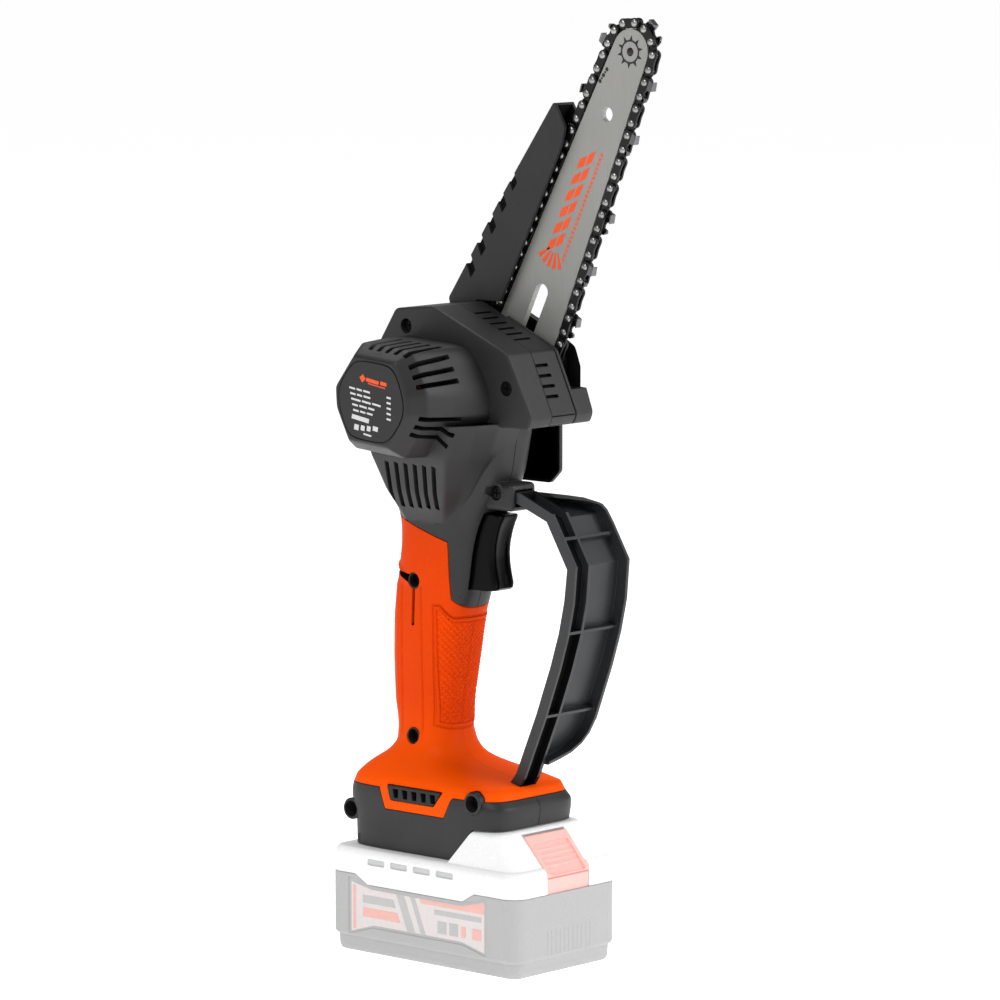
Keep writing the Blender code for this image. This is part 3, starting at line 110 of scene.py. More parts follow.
# Camera and lights, in metres and watts
LENS, SENSOR_WIDTH, CAMERA_DISTANCE, AIM = 196.56, 36.0, 2.565, Vector((0.009475, 0.008531, 0.216579))
AZIMUTH, ELEVATION = math.radians(42.0), math.radians(7.2)
LIGHTS = [("key", (0.25, -1.5, 1.85), 0.9, 20.0), ("side", (1.5, 0.8, 1.1), 1.1, 20.0),
          ("top", (-0.6, 0.5, 1.8), 0.9, 11.0)]  # name, place, size and power
LIGHT_AIM = Vector((0, 0, 0.22))
FLOOR_REACH, FLOOR_GLOW = 40000.0, 0.72  # the reach is in millimetres
SKY = {"From Min": 0.06, "From Max": 0.20, "To Min": 1.05, "To Max": 0.28}  # brightness over height
PAINTED_LIGHT_Z = (0.085, 0.125)  # heights between which the grip's orange passes into a brighter orange on its foot: painted light for the foot's sloping faces catching more light

MADE = bpy.data.collections.new("looks")
bpy.context.scene.collection.children.link(MADE)


# ---------------------------------------------------------------- mesh helpers

def mesh_object(name, shape):
    """A new object from a shape drawn in millimetres."""
    bmesh.ops.recalc_face_normals(shape, faces=shape.faces)
    bmesh.ops.scale(shape, vec=(MM, MM, MM), verts=shape.verts)
    mesh = bpy.data.meshes.new(name)
    shape.to_mesh(mesh)
    shape.free()
    obj = bpy.data.objects.new(name, mesh)
    MADE.objects.link(obj)
    return obj


def applied(obj):
    """Turns the object's modifiers into mesh."""
    bpy.context.view_layer.update()
    graph = bpy.context.evaluated_depsgraph_get()
    mesh = bpy.data.meshes.new_from_object(obj.evaluated_get(graph))
    old = obj.data
    obj.modifiers.clear()
    obj.data = mesh
    bpy.data.meshes.remove(old)
    return obj


def boolean(obj, other, operation):
    """Combines two meshes, with the exact solver if the quick one leaves nothing."""
    before = obj.data.copy()
    for solver in ("MANIFOLD", "EXACT"):
        change = obj.modifiers.new("boolean", "BOOLEAN")
        change.operation, change.solver, change.object = operation, solver, other
        applied(obj)
        if len(obj.data.polygons):
            break
        obj.data = before.copy()
    bpy.data.meshes.remove(before)
    return obj


def spent(obj):
    bpy.data.objects.remove(obj)


def cut(obj, *cutters):
    for cutter in cutters:
        boolean(obj, cutter, "DIFFERENCE")
        spent(cutter)
    return obj


def join(obj, *others):
    for other in others:
        boolean(obj, other, "UNION")
        spent(other)
    return obj


def keep(obj, *others):
    for other in others:
        boolean(obj, other, "INTERSECT")
        spent(other)
    return obj


def merged(obj, *others):
    """Adds the other meshes to obj as they are."""
    shape = bmesh.new()
    shape.from_mesh(obj.data)
    for other in others:
        shape.from_mesh(other.data)
        spent(other)
    shape.to_mesh(obj.data)
    shape.free()
    return obj


def bevel(obj, width, segments=3, angle=30):
    change = obj.modifiers.new("bevel", "BEVEL")
    change.width, change.segments = width * MM, segments
    change.limit_method, change.angle_limit = "ANGLE", math.radians(angle)
    return applied(obj)


def block(name, low, high, radius=0.0, segments=3):
    low, high = Vector(low), Vector(high)
    shape = bmesh.new()
    bmesh.ops.create_cube(shape, size=1.0)
    bmesh.ops.scale(shape, vec=high - low, verts=shape.verts)
    bmesh.ops.translate(shape, vec=(low + high) / 2, verts=shape.verts)
    obj = mesh_object(name, shape)
    return bevel(obj, radius, segments) if radius else obj


def rod(name, start, end, radius, sides=32):
    start, end = Vector(start), Vector(end)
    along = end - start
    shape = bmesh.new()
    bmesh.ops.create_cone(shape, cap_ends=True, segments=sides, radius1=radius, radius2=radius,
                          depth=along.length)
    turn = Vector((0, 0, 1)).rotation_difference(along).to_matrix().to_4x4()
    bmesh.ops.transform(shape, matrix=Matrix.Translation((start + end) / 2) @ turn, verts=shape.verts)
    return mesh_object(name, shape)


def band(shape, lower, upper):
    """Joins two rings of vertices with a band of faces."""
    for i in range(len(lower)):
        j = (i + 1) % len(lower)
        shape.faces.new((lower[i], lower[j], upper[j], upper[i]))


def prism(shape, *ends):
    """Adds a solid between two matching rows of points."""
    lower, upper = [[shape.verts.new(point) for point in end] for end in ends]
    shape.faces.new(lower)
    shape.faces.new(upper)
    band(shape, lower, upper)


def plate(name, outline, low, high, flat="XZ"):
    """A closed outline extruded from low to high, along Y, Z ("XY") or X ("YZ")."""
    def at(u, v, w):
        return {"XZ": (u, w, v), "XY": (u, v, w), "YZ": (w, u, v)}[flat]
    shape = bmesh.new()
    prism(shape, [at(u, v, low) for u, v in outline], [at(u, v, high) for u, v in outline])
    return mesh_object(name, shape)


def loft(name, rings):
    """A closed skin over a stack of rings."""
    shape = bmesh.new()
    rows = [[shape.verts.new(point) for point in ring] for ring in rings]
    for lower, upper in zip(rows, rows[1:]):
        band(shape, lower, upper)
    shape.faces.new(rows[0])
    shape.faces.new(rows[-1])
    return mesh_object(name, shape)


def turned(name, profile, base, axis, sides=32):
    """A profile of (radius, height) points turned about an axis; its ends lie on the axis."""
    turn = Vector((0, 0, 1)).rotation_difference(Vector(axis)).to_matrix()
    base = Vector(base)
    angles = [2 * math.pi * i / sides for i in range(sides)]
    shape = bmesh.new()
    rows = []
    for radius, height in profile:
        ring = [(radius * math.cos(a), radius * math.sin(a), height) for a in (angles if radius else [0.0])]
        rows.append([shape.verts.new(base + turn @ Vector(point)) for point in ring])
    for first, second in zip(rows, rows[1:]):
        for i in range(sides):
            j = (i + 1) % sides
            corners = [row[k % len(row)] for row, k in ((first, i), (first, j), (second, j), (second, i))]
            corners = list(dict.fromkeys(corners))
            if len(corners) > 2:
                shape.faces.new(corners)
    return mesh_object(name, shape)


def stood(obj, at, lean=0.0):
    """Leans a piece about Y, then moves it from the origin to a place."""
    obj.data.transform(Matrix.Translation(Vector(at) * MM) @ Matrix.Rotation(lean, 4, "Y"))
    return obj


# ---------------------------------------------------------------- outlines

def along_bar(distance, across=0.0, y=BAR_Y):
    """A point on the bar, measured down from its nose and across towards the front."""
    return Vector((NOSE[0], y, NOSE[1])) + BAR_DOWN * distance + BAR_SIDE * across


def flat(points):
    return [(point.x, point.z) for point in points]


def arc(centre, radius, first, last, count):
    angles = [math.radians(first + (last - first) * i / (count - 1)) for i in range(count)]
    return [(centre[0] + radius * math.cos(a), centre[1] + radius * math.sin(a)) for a in angles]


def rounded_box(low, high, radius, count=8):
    (left, bottom), (right, top) = low, high
    return (arc((right - radius, bottom + radius), radius, -90, 0, count)
            + arc((right - radius, top - radius), radius, 0, 90, count)
            + arc((left + radius, top - radius), radius, 90, 180, count)
            + arc((left + radius, bottom + radius), radius, 180, 270, count))


def counter_clockwise(outline):
    area = sum(a[0] * b[1] - b[0] * a[1] for a, b in zip(outline, outline[1:] + outline[:1]))
    return outline if area > 0 else outline[::-1]


def grown(outline, distance):
    """The outline with every side moved outwards."""
    outline = counter_clockwise(list(outline))
    made = []
    for i, (x, z) in enumerate(outline):
        before, after = outline[i - 1], outline[(i + 1) % len(outline)]
        first = Vector((z - before[1], before[0] - x)).normalized()
        second = Vector((after[1] - z, x - after[0])).normalized()
        mitre = (first + second) / (1 + first.dot(second))
        made.append((x + mitre.x * distance, z + mitre.y * distance))
    return made


def softened(outline, radius, count=4):
    """The outline with each corner rounded off."""
    outline = counter_clockwise(list(outline))
    made = []
    for i, corner in enumerate(outline):
        here = Vector(corner)
        before, after = Vector(outline[i - 1]) - here, Vector(outline[(i + 1) % len(outline)]) - here
        reach = min(radius, before.length * 0.45, after.length * 0.45)
        start, end = here + before.normalized() * reach, here + after.normalized() * reach
        for j in range(count + 1):
            t = j / count
            made.append(tuple(start * (1 - t) ** 2 + here * 2 * t * (1 - t) + end * t * t))
    return made


def between(table, z, window):
    """Values of a table of rows at a height, averaged over a window so that its corners soften."""
    total = [0.0] * (len(table[0]) - 1)
    samples = 9
    for i in range(samples):
        height = z + window * (i / (samples - 1) - 0.5) * 2
        height = min(max(height, table[0][0]), table[-1][0])
        for low, high in zip(table, table[1:]):
            if height <= high[0]:
                break
        share = (height - low[0]) / (high[0] - low[0])
        for k in range(len(total)):
            total[k] += (low[k + 1] * (1 - share) + high[k + 1] * share) / samples
    return total


def body_section(z, inset=0.0, count=96):
    """A level ring round the body: a squared ellipse whose two sides can differ."""
    window = 5.0 if z > 112 else (1.6 if z > 84 else 0.7)
    rear, front, right, left, power = between(BODY_SECTIONS, z, window)
    middle, half = (rear + front) / 2, (front - rear) / 2 - inset
    ring = []
    for i in range(count):
        angle = 2 * math.pi * (i + 0.5) / count
        c, s = math.cos(angle), math.sin(angle)
        size = (abs(c) ** power + abs(s) ** power) ** (-1 / power)
        reach = (left - inset) if s > 0 else (-right - inset)
        ring.append((middle + half * c * size, reach * s * size, z))
    return ring


def deep(point, depth):
    """Whether a point lies deeper than the given depth under the grip's and neck's surface."""
    rear, front, right, left, power = between(BODY_SECTIONS, point.z, 5.0)
    along = abs(point.x - (rear + front) / 2) / ((front - rear) / 2 - depth)
    across = abs(point.y) / ((left if point.y > 0 else -right) - depth)
    return along ** power + across ** power < 1


def body_loft(name, low, high, inset=0.0, step=2.0, count=96):
    """The grip, neck and foot between two heights."""
    steps = max(2, round((high - low) / step))
    heights = [low + (high - low) * i / steps for i in range(steps + 1)]
    return loft(name, [body_section(z, inset, count) for z in heights])


def drum_ring(y, reach, height, power, count):
    """A hexagon with one corner cut flat at a high power, near an ellipse at a low one, of equal reach."""
    def size(angle):
        total = 0
        for turn, closeness in DRUM_FACES:
            total += (closeness * abs(math.cos(angle - DRUM_TURN - math.radians(turn)))) ** power
        return total ** (-1 / power)
    ring = []
    for i in range(count):
        angle = 2 * math.pi * (i + 0.5) / count
        ring.append((MOTOR_X + reach * size(angle) / size(0.0) * math.cos(angle), y,
                     MOTOR_Z + height * size(angle) / size(math.pi / 2) * math.sin(angle)))
    return ring


def belt(circles, count, start):
    """Points and headings along a closed belt round circles (x, z, radius), counter-clockwise."""
    runs, tangents, number = [], [], len(circles)
    for i in range(number):
        (x1, z1, r1), (x2, z2, r2) = circles[i], circles[(i + 1) % number]
        gap = Vector((x2 - x1, z2 - z1))
        heading = math.atan2(gap.y, gap.x) + math.asin((r1 - r2) / gap.length)
        tangents.append((heading, math.sqrt(gap.length ** 2 - (r1 - r2) ** 2)))
    for i in range(number):
        x, z, radius = circles[i]
        first = tangents[i - 1][0]
        turn = (tangents[i][0] - first) % (2 * math.pi)
        runs.append((True, x, z, radius, first, radius * turn))
        heading, length = tangents[i]
        x, z = x + radius * math.sin(heading), z - radius * math.cos(heading)
        runs.append((False, x, z, 0.0, heading, length))
    total = sum(run[5] for run in runs)
    points = []
    for i in range(count):
        left = total * ((i + start) / count % 1.0)
        for curved, x, z, radius, first, length in runs:
            if left <= length:
                break
            left -= length
        if curved:
            heading = first + left / radius
            points.append((x + radius * math.sin(heading), z - radius * math.cos(heading), heading))
        else:
            points.append((x + left * math.cos(first), z + left * math.sin(first), first))
    return points


def belt_circles():
    """The chain's path: round the drive sprocket, the bar's two shoulders and its nose."""
    shoulder_radius = 24.0
    shoulder = BAR_BASE_HALF + RIVET_LIFT - shoulder_radius
    drive, nose = along_bar(DRIVE_AT), along_bar(0)
    front, rear = along_bar(BAR_BASE_AT, shoulder), along_bar(BAR_BASE_AT, -shoulder)
    return [(drive.x, drive.z, DRIVE_RADIUS), (front.x, front.z, shoulder_radius),
            (nose.x, nose.z, NOSE_RADIUS + RIVET_LIFT), (rear.x, rear.z, shoulder_radius)]


# ---------------------------------------------------------------- materials

class Nodes:
    """A material's node tree with short ways to add and link nodes."""

    def __init__(self, name):
        self.material = bpy.data.materials.new(name)
        self.material.use_nodes = True
        self.tree = self.material.node_tree
        self.shader = self.tree.nodes["Principled BSDF"]
        self.place = self.add("ShaderNodeTexCoord").outputs["Object"]

    def add(self, kind, values=None, **settings):
        node = self.tree.nodes.new(kind)
        for key, value in settings.items():
            setattr(node, key, value)
        for key, value in (values or {}).items():
            node.inputs[key].default_value = value
        return node

    def link(self, out, into):
        self.tree.links.new(out, into)

    def feed(self, **sources):
        """Links outputs to the shader's inputs, or sets the inputs to plain values."""
        names = {"colour": "Base Color", "roughness": "Roughness", "normal": "Normal",
                 "metallic": "Metallic", "specular": "Specular IOR Level",
                 "glow_colour": "Emission Color", "glow": "Emission Strength"}
        for key, value in sources.items():
            socket = self.shader.inputs[names[key]]
            if hasattr(value, "links"):
                self.link(value, socket)
            else:
                socket.default_value = value

    def noise(self, scale, detail=2.0, stretch=None):
        node = self.add("ShaderNodeTexNoise", {"Scale": scale, "Detail": detail})
        place = self.place
        if stretch:
            mapping = self.add("ShaderNodeMapping", {"Scale": stretch, "Rotation": (0.0, BAR_LEAN, 0.0)})
            self.link(place, mapping.inputs["Vector"])
            place = mapping.outputs["Vector"]
        self.link(place, node.inputs["Vector"])
        return node.outputs["Fac"]

    def spread(self, value, low, high, from_low=0.3, from_high=0.7):
        node = self.add("ShaderNodeMapRange", {"From Min": from_low, "From Max": from_high,
                                               "To Min": low, "To Max": high})
        self.link(value, node.inputs["Value"])
        return node.outputs["Result"]

    def mix(self, share, first, second):
        node = self.add("ShaderNodeMix", data_type="RGBA")
        self.link(share, node.inputs["Factor"])
        for key, value in (("A", first), ("B", second)):
            socket = next(s for s in node.inputs if s.name == key and s.type == "RGBA")
            if hasattr(value, "links"):
                self.link(value, socket)
            else:
                socket.default_value = (*value, 1.0)
        return next(s for s in node.outputs if s.type == "RGBA")

    def bump(self, height, distance, strength=1.0, normal=None):
        node = self.add("ShaderNodeBump", {"Strength": strength, "Distance": distance})
        self.link(height, node.inputs["Height"])
        if normal is not None:
            self.link(normal, node.inputs["Normal"])
        return node.outputs["Normal"]

    def rounding(self, radius):
        return self.add("ShaderNodeBevel", {"Radius": radius}, samples=4).outputs["Normal"]


def tint(colour, times):
    return tuple(min(1.0, c * times) for c in colour)


def plastic(name, colour, roughness, grain=900.0, depth=0.00004, edge=0.0005, vary=0.12, specular=0.5,
            glow=0.0, painted_lit_foot_colour=None):
    """Moulded plastic: spark-eroded grain, faint mottling and slightly rubbed high spots. A glow is painted
    light that lifts the whole part; painted_lit_foot_colour is a brighter tone painted low down, where more
    light falls on the foot.
    """
    made = Nodes(name)
    mottling = made.spread(made.noise(22.0, 3.0), 0.0, 1.0)
    broad = made.mix(mottling, tint(colour, 1 - vary), tint(colour, 1 + vary))
    # Painted light: below the given heights the colour passes into a brighter tone, standing in for the extra
    # light on the foot.
    if painted_lit_foot_colour:
        parts = made.add("ShaderNodeSeparateXYZ")
        made.link(made.place, parts.inputs["Vector"])
        broad = made.mix(made.spread(parts.outputs["Z"], 1.0, 0.0, *PAINTED_LIGHT_Z), broad, painted_lit_foot_colour)
    speck = made.spread(made.noise(grain * 1.2, 2.0), 0.0, 0.35, 0.5, 0.8)
    made.feed(colour=made.mix(speck, broad, tint(colour, 1.25)))
    rough = made.spread(made.noise(60.0, 4.0), roughness - 0.05, roughness + 0.06)
    made.feed(roughness=rough, specular=specular, glow_colour=(*colour, 1.0), glow=glow)
    made.feed(normal=made.bump(made.noise(grain, 3.0), depth, 1.0, made.rounding(edge) if edge else None))
    return made.material


def gloss(name, colour, roughness=0.12, edge=0.0004, specular=0.4):
    """Polished plastic with faint smears."""
    made = Nodes(name)
    made.feed(colour=made.mix(made.noise(30.0), colour, tint(colour, 1.3)))
    made.feed(roughness=made.spread(made.noise(90.0, 5.0), roughness, roughness + 0.12), specular=specular)
    made.feed(normal=made.bump(made.noise(200.0), 0.00001, 0.5, made.rounding(edge)))
    return made.material


def steel(name, colour, roughness, streaks=(60.0, 60.0, 4.0), metallic=1.0, vary=0.1, edge=0.0002):
    """Ground or rolled steel: long fine streaks, cloudy tint and a thin film of oil."""
    made = Nodes(name)
    dark = tint(colour, 1 - vary)
    line = made.noise(40.0, 4.0, streaks)
    cloud = made.mix(made.spread(made.noise(18.0, 3.0), 0.0, 1.0), dark, tint(colour, 1 + vary))
    made.feed(colour=made.mix(made.spread(line, 0.0, 0.5), cloud, dark))
    made.feed(roughness=made.spread(line, roughness - 0.06, roughness + 0.1), metallic=metallic)
    made.feed(normal=made.bump(line, 0.00001, 0.6, made.rounding(edge)))
    return made.material


def ink(name, colour, roughness=0.45):
    """Printed ink with a slightly uneven coat."""
    made = Nodes(name)
    wear = made.spread(made.noise(350.0, 4.0), 0.0, 0.25, 0.45, 0.8)
    made.feed(colour=made.mix(wear, colour, tint(colour, 0.75)))
    made.feed(roughness=made.spread(made.noise(120.0), roughness - 0.05, roughness + 0.1))
    return made.material


FINE = {"grain": 700.0, "depth": 0.00002}  # a finer, shallower moulded grain
DARK = plastic("housing_nylon", (0.0145, 0.0145, 0.0158), 0.46, specular=0.36)
DARK_SMOOTH = plastic("guard_nylon", (0.019, 0.020, 0.022), 0.42, depth=0.00002, specular=0.42)
FOOT_DARK = plastic("foot_nylon", (0.018, 0.018, 0.0185), 0.48, specular=0.35)
# The grip's orange turns brighter low down on the foot: painted light.
ORANGE = plastic("grip_orange", (0.69, 0.050, 0.0001), 0.48, **FINE, vary=0.04, specular=0.05,
                 painted_lit_foot_colour=(0.90, 0.085, 0.0001))
PAD = plastic("pad_orange", (0.76, 0.054, 0.0001), 0.5, **FINE, vary=0.05, specular=0.05)
BLACK = gloss("gloss_black", (0.0012, 0.0012, 0.0012), 0.1, specular=0.07)
# Near-black painted shade, put on hollows, recesses and the parts seen through slots.
PAINTED_SHADE = plastic("painted_shade_black", (0.003, 0.003, 0.003), 0.8, edge=0.0, specular=0.1)
RUBBER_BLACK = plastic("grille_black", (0.008, 0.008, 0.0085), 0.5, specular=0.35)
BAR = steel("bar_steel", (0.30, 0.298, 0.282), 0.45, (30.0, 30.0, 2.0), metallic=0.35, vary=0.06)
BRIGHT = steel("rivet_steel", (0.36, 0.36, 0.35), 0.3, vary=0.3)
LINK = steel("link_steel", (0.009, 0.009, 0.010), 0.34, metallic=0.5, vary=0.4)
CUTTER = steel("cutter_steel", (0.17, 0.17, 0.175), 0.22, vary=0.3)
HUB = steel("hub_steel", (0.05, 0.047, 0.043), 0.35, vary=0.2)
MACHINED = steel("machined_steel", (0.42, 0.42, 0.42), 0.3)
DARK_STEEL = steel("blued_steel", (0.02, 0.02, 0.022), 0.4)
WINDING = steel("winding_copper", (0.20, 0.08, 0.04), 0.35)
LABEL_BLACK = plastic("label_black", (0.010, 0.010, 0.010), 0.42, grain=400.0, depth=0.00001, edge=0.0,
                      specular=0.4)
INK_WHITE = ink("ink_white", (0.60, 0.60, 0.60))
INK_ORANGE = ink("ink_orange", (0.80, 0.075, 0.002))
INK_BLACK = ink("ink_black", (0.004, 0.004, 0.004))
# The pack's white and grey plastics glow a little: painted light that brightens them.
PACK_WHITE = plastic("pack_white", (0.80, 0.802, 0.806), 0.5, **FINE, vary=0.01, specular=0.3, glow=0.1)
PACK_GREY = plastic("pack_grey", (0.37, 0.37, 0.37), 0.6, grain=700.0, depth=0.00001, vary=0.02, specular=0.2,
                    glow=0.22)
PACK_VENT = plastic("pack_vent_grey", (0.55, 0.56, 0.56), 0.6, vary=0.02, specular=0.2)
# The latch glows a little: painted light that brightens it.
LATCH = plastic("latch_salmon", (0.80, 0.43, 0.39), 0.5, **FINE, vary=0.03, specular=0.3, glow=0.22)
LABEL_PALE = ink("label_pale", (0.68, 0.63, 0.62), 0.5)
INK_PALE_RED = ink("ink_pale_red", (0.78, 0.44, 0.39))
INK_PALE_GREY = ink("ink_pale_grey", (0.48, 0.48, 0.48))
BOARD = plastic("board_green", (0.02, 0.14, 0.05), 0.4, vary=0.2)
WRAP = gloss("cell_wrap", (0.10, 0.30, 0.45), 0.25)
TANK = plastic("tank_white", (0.75, 0.74, 0.70), 0.4, vary=0.05)


def paint_hollow_shade(obj, look, in_shade):
    """Gives the faces whose centres pass a test, in millimetres, a near-black material: painted shade for
    hollows and recesses.
    """
    marks = [1 if in_shade(face.center / MM) else 0 for face in obj.data.polygons]
    obj.data.materials.clear()
    obj.data.materials.append(None)
    obj.data.materials.append(look)
    obj.data.polygons.foreach_set("material_index", marks)


def within(outline, x, z):
    """Whether a point lies inside a closed outline."""
    inside = False
    for (x1, z1), (x2, z2) in zip(outline, outline[1:] + outline[:1]):
        if (z1 > z) != (z2 > z) and x < (x2 - x1) * (z - z1) / (z2 - z1) + x1:
            inside = not inside
    return inside


def place(obj, body, slot, nodes=(), look=None, name=None, smooth=38, weighted=True):
    """Gives a finished piece its material and its body, and hides the CAD nodes that it stands for."""
    if name:
        obj.name = name
    if look:
        others = list(obj.data.materials)[1:]
        marks = [face.material_index if others else 0 for face in obj.data.polygons]
        obj.data.materials.clear()
        for material in (look, *others):
            obj.data.materials.append(material)
        obj.data.polygons.foreach_set("material_index", marks)
    if smooth:
        obj.data.shade_smooth()
        obj.data.set_sharp_from_angle(angle=math.radians(smooth))
        if weighted:
            obj.modifiers.new("normals", "WEIGHTED_NORMAL").keep_sharp = True
            applied(obj)
    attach(obj, body)
    if nodes:
        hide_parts(*nodes)


# ---------------------------------------------------------------- tool body

def span(sign, near, far):
    """The Y range between two distances from the middle plane, right (-1) or left (1)."""
    return sorted((sign * near, sign * far))


def half_space(sign, gap=SEAM):
    low, high = span(sign, gap, 90)
    return block("half", (-120, low, 20), (120, high, 360))


def head_block():
    """The faceted head: a plate with softened edges whose right face falls away to the front."""
    head = plate("head", softened(HEAD_OUTLINE, 1.6, 2), HEAD_RIGHT_Y, HEAD_LEFT_Y)
    corners = [Vector((-8.3, HEAD_RIGHT_Y, 308.8)), Vector((-27.0, HEAD_RIGHT_Y, 280.0)),
               Vector((50.0, -14.8, 259.5))]
    normal = (corners[1] - corners[0]).cross(corners[2] - corners[0]).normalized()
    if normal.y > 0:
        normal.negate()
    wedge = block("wedge", (-90, -90, 0), (90, 90, 40))
    turn = Vector((0, 0, 1)).rotation_difference(normal).to_matrix().to_4x4()
    wedge.data.transform(Matrix.Translation(corners[0] * MM) @ turn)
    cut(head, wedge)
    return bevel(head, 0.9, 3, 25)


def drum():
    """The motor drum, six-sided at its end and rounder towards the head."""
    rows = [(DRUM_END_Y, 21.4, 19.0, 60), (-58.8, 22.1, 19.7, 60), (-58.2, 22.8, 20.4, 60),
            (-57.0, 23.7, 21.3, 60), (-51.4, 27.3, 24.5, 60), (-50.4, 27.9, 25.0, 60),
            (-49.2, 28.2, 25.2, 60), (-38.0, 30.6, 25.8, 50), (-26.0, 33.8, 26.3, 26),
            (-18.0, 35.7, 26.6, 12), (-2.0, 35.7, 26.6, 12)]
    return loft("drum", [drum_ring(*row, count=288) for row in rows])


def chin(inset=0.0):
    """A funnel of flat faces under the drum: the louvred face and two facets that turn into the neck."""
    table = [(207, -38.5, -3.0, 0.0, 2.0, -17.5, -16.0), (212, -39.5, 0.0, 3.5, 6.0, -20.5, -17.0),
             (222, -41.5, 7.0, 11.0, 14.0, -27.5, -20.0), (240, -43, 16.5, 21.5, 25.0, -37.0, -26.0),
             (256, -42, 23, 29, 31.0, -40, -28)]
    rings = []
    for i in range(26):
        z = 207 + 1.96 * i
        rear, face_end, middle, front, right, facet = between(table, z, 1.5)
        ring = [(rear, 4), (rear, -6), (rear + 7, right * 0.8), (rear + 11.5, right), (face_end, right),
                (middle, facet), (front, -16), (front, 4)]
        outline = softened(grown(ring, -inset) if inset else ring, 1.6, 4)
        rings.append([(x, y, z) for x, y in outline])
    return loft("chin", rings)


def drum_slots():
    """Cooling slots that run out over the rim: eight on the upper flank and three below a plain band."""
    made = []
    for turn in [102 - 11.8 * i for i in range(8)] + [-15.5 - 11.0 * i for i in range(3)]:
        angle = math.radians(turn)
        centre = Vector((MOTOR_X + 27 * math.cos(angle), -42.6, MOTOR_Z + 25 * math.sin(angle)))
        slot = block("slot", (-9.0, -11.4, -1.2), (9.0, 11.4, 1.2), 0.35, 2)
        made.append(stood(slot, centre, -angle))
    return made


def chin_slots():
    """Six upright louvres in the cup below the drum, splayed a little."""
    made = []
    for i in range(6):
        lean = math.atan2(7.2 + 0.5 * i, 22.8)
        slot = block("louvre", (-1.25, -20, -12.2), (1.25, 20, 11.6), 0.3, 2)
        made.append(stood(slot, (-26.2 + 5.7 * i, -30.5, 225.2), lean))
    return made


def grooves():
    """Fine lines across the head's slanted top and front, running left from the seam."""
    made = []
    places = [(HEAD_PEAK, HEAD_BROW, 0.215 + 0.1105 * i, 11.0) for i in range(6)]
    places += [(HEAD_BROW, HEAD_TIP, 0.225 + 0.158 * i, 8.4) for i in range(4)]
    for start, end, share, length in places:
        x, z = (a + (b - a) * share for a, b in zip(start, end))
        tilt = math.atan2(start[1] - end[1], end[0] - start[0])
        line = block("groove", (-0.8, 0.0, -1.8), (0.8, length, 1.0), 0.3, 2)
        made.append(stood(line, (x, 0.3, z), tilt))
    return made


def build_housing(side, sign):
    """One half of the head, neck and motor drum."""
    shell = body_loft("shell", 160.0, 254.0, step=3.0, count=72)
    boss = block("boss", (12, -8.8, 214.2), (32.3, 8.8, 227.2), 2.4, 4)
    head = head_block()
    join(shell, head, boss)
    if side == "right":
        join(shell, drum(), chin())
    keep(shell, half_space(sign))
    if side == "right":
        join(shell, tongue(160.0, 254.0, plate("tongue_head", grown(HEAD_OUTLINE, -0.7), -4.0, 4.0)))
    cut(shell, plate("region", grown(GRIP_REGION, GROOVE), -60, 60),
        body_loft("room", 150.0, 252.0, WALL, 4.0, 48),
        plate("head_room", grown(HEAD_OUTLINE, -WALL), HEAD_RIGHT_Y + WALL + 1.5, HEAD_LEFT_Y - WALL),
        block("guard_socket", (25.3, -6.3, 216.4), (41, 5.9, 224.3)),
        block("trigger_slot", (-6, -8.3, 175.2), (40, 8.3, 212.6)),
        block("switch_room", (-34, -11, 172), (2, 11, 214)))
    if side == "right":
        cut(shell, chin(WALL), rod("motor_room", (MOTOR_X, -56.0, MOTOR_Z), (MOTOR_X, 2, MOTOR_Z), 21.8, 48),
            *drum_slots(), *chin_slots(), plate("plate_recess", drum_outline(0.25), -61, -58.3))
        for name, depth, depth_end in (("head_rear", -16.4, -13.4), ("head_front", -15.0, -12.4),
                                       ("boss", -8.3, -5.4)):
            x, z = SCREW_HOLES[name]
            join(shell, rod("bush", (x, depth - 0.6, z), (x, -SEAM, z), 5.0, 24))
            cut(shell, rod("bore", (x, -60, z), (x, depth_end, z), 3.5, 28))
    else:
        cut(shell, *grooves(),
            rod("hole_oil", (-30, OIL_CAP_Y, OIL_CAP_Z), (-60, OIL_CAP_Y, OIL_CAP_Z), 4.5, 28),
            block("hole_button", (-16.3, 8, 205.2), (-4.7, 30, 212.8)))
        pad = [along_bar(147, -11), along_bar(147, 4), along_bar(167, 4), along_bar(167, -11)]
        join(shell, plate("pad_bar", flat(pad), 12.0, 22.4))
        cut(shell, rod("hole_shaft", along_bar(DRIVE_AT, y=5), along_bar(DRIVE_AT, y=30), 4.6),
            rod("hole_stud", along_bar(STUD_AT, y=12), along_bar(STUD_AT, y=30), 3.2),
            pin_hole(14.4, 30))
    # The head's inner faces, seen through its openings, get the near-black painted shade.
    core = grown(HEAD_OUTLINE, -0.35)
    paint_hollow_shade(shell, PAINTED_SHADE, lambda c: 0.5 < c.y < 14 and within(core, c.x, c.z))
    place(shell, "tool", "dark_nylon", [f"housing_{side}"], DARK, name=f"{side}_housing")


def pin_hole(low, high):
    """The chain guard's pivot hole between two depths."""
    x, z = GUARD_PIVOT
    return rod("pin_hole", (x, low, z), (x, high, z), 2.3)


def tongue(low, high, *more):
    """A thin sheet inside the seam, a little smaller than the body, that keeps light out."""
    sheet = body_loft("tongue", low, high, 0.6, 3.0, 72)
    if more:
        join(sheet, *more)
    return keep(sheet, block("slab", (-120, -0.5, 20), (120, 0.4, 360)))


def drum_outline(extra=0.0):
    """The outline of the plate on the drum's end."""
    return [(x, z) for x, y, z in drum_ring(0.0, 20.4 + extra, 18.4 + extra, 9, 96)]


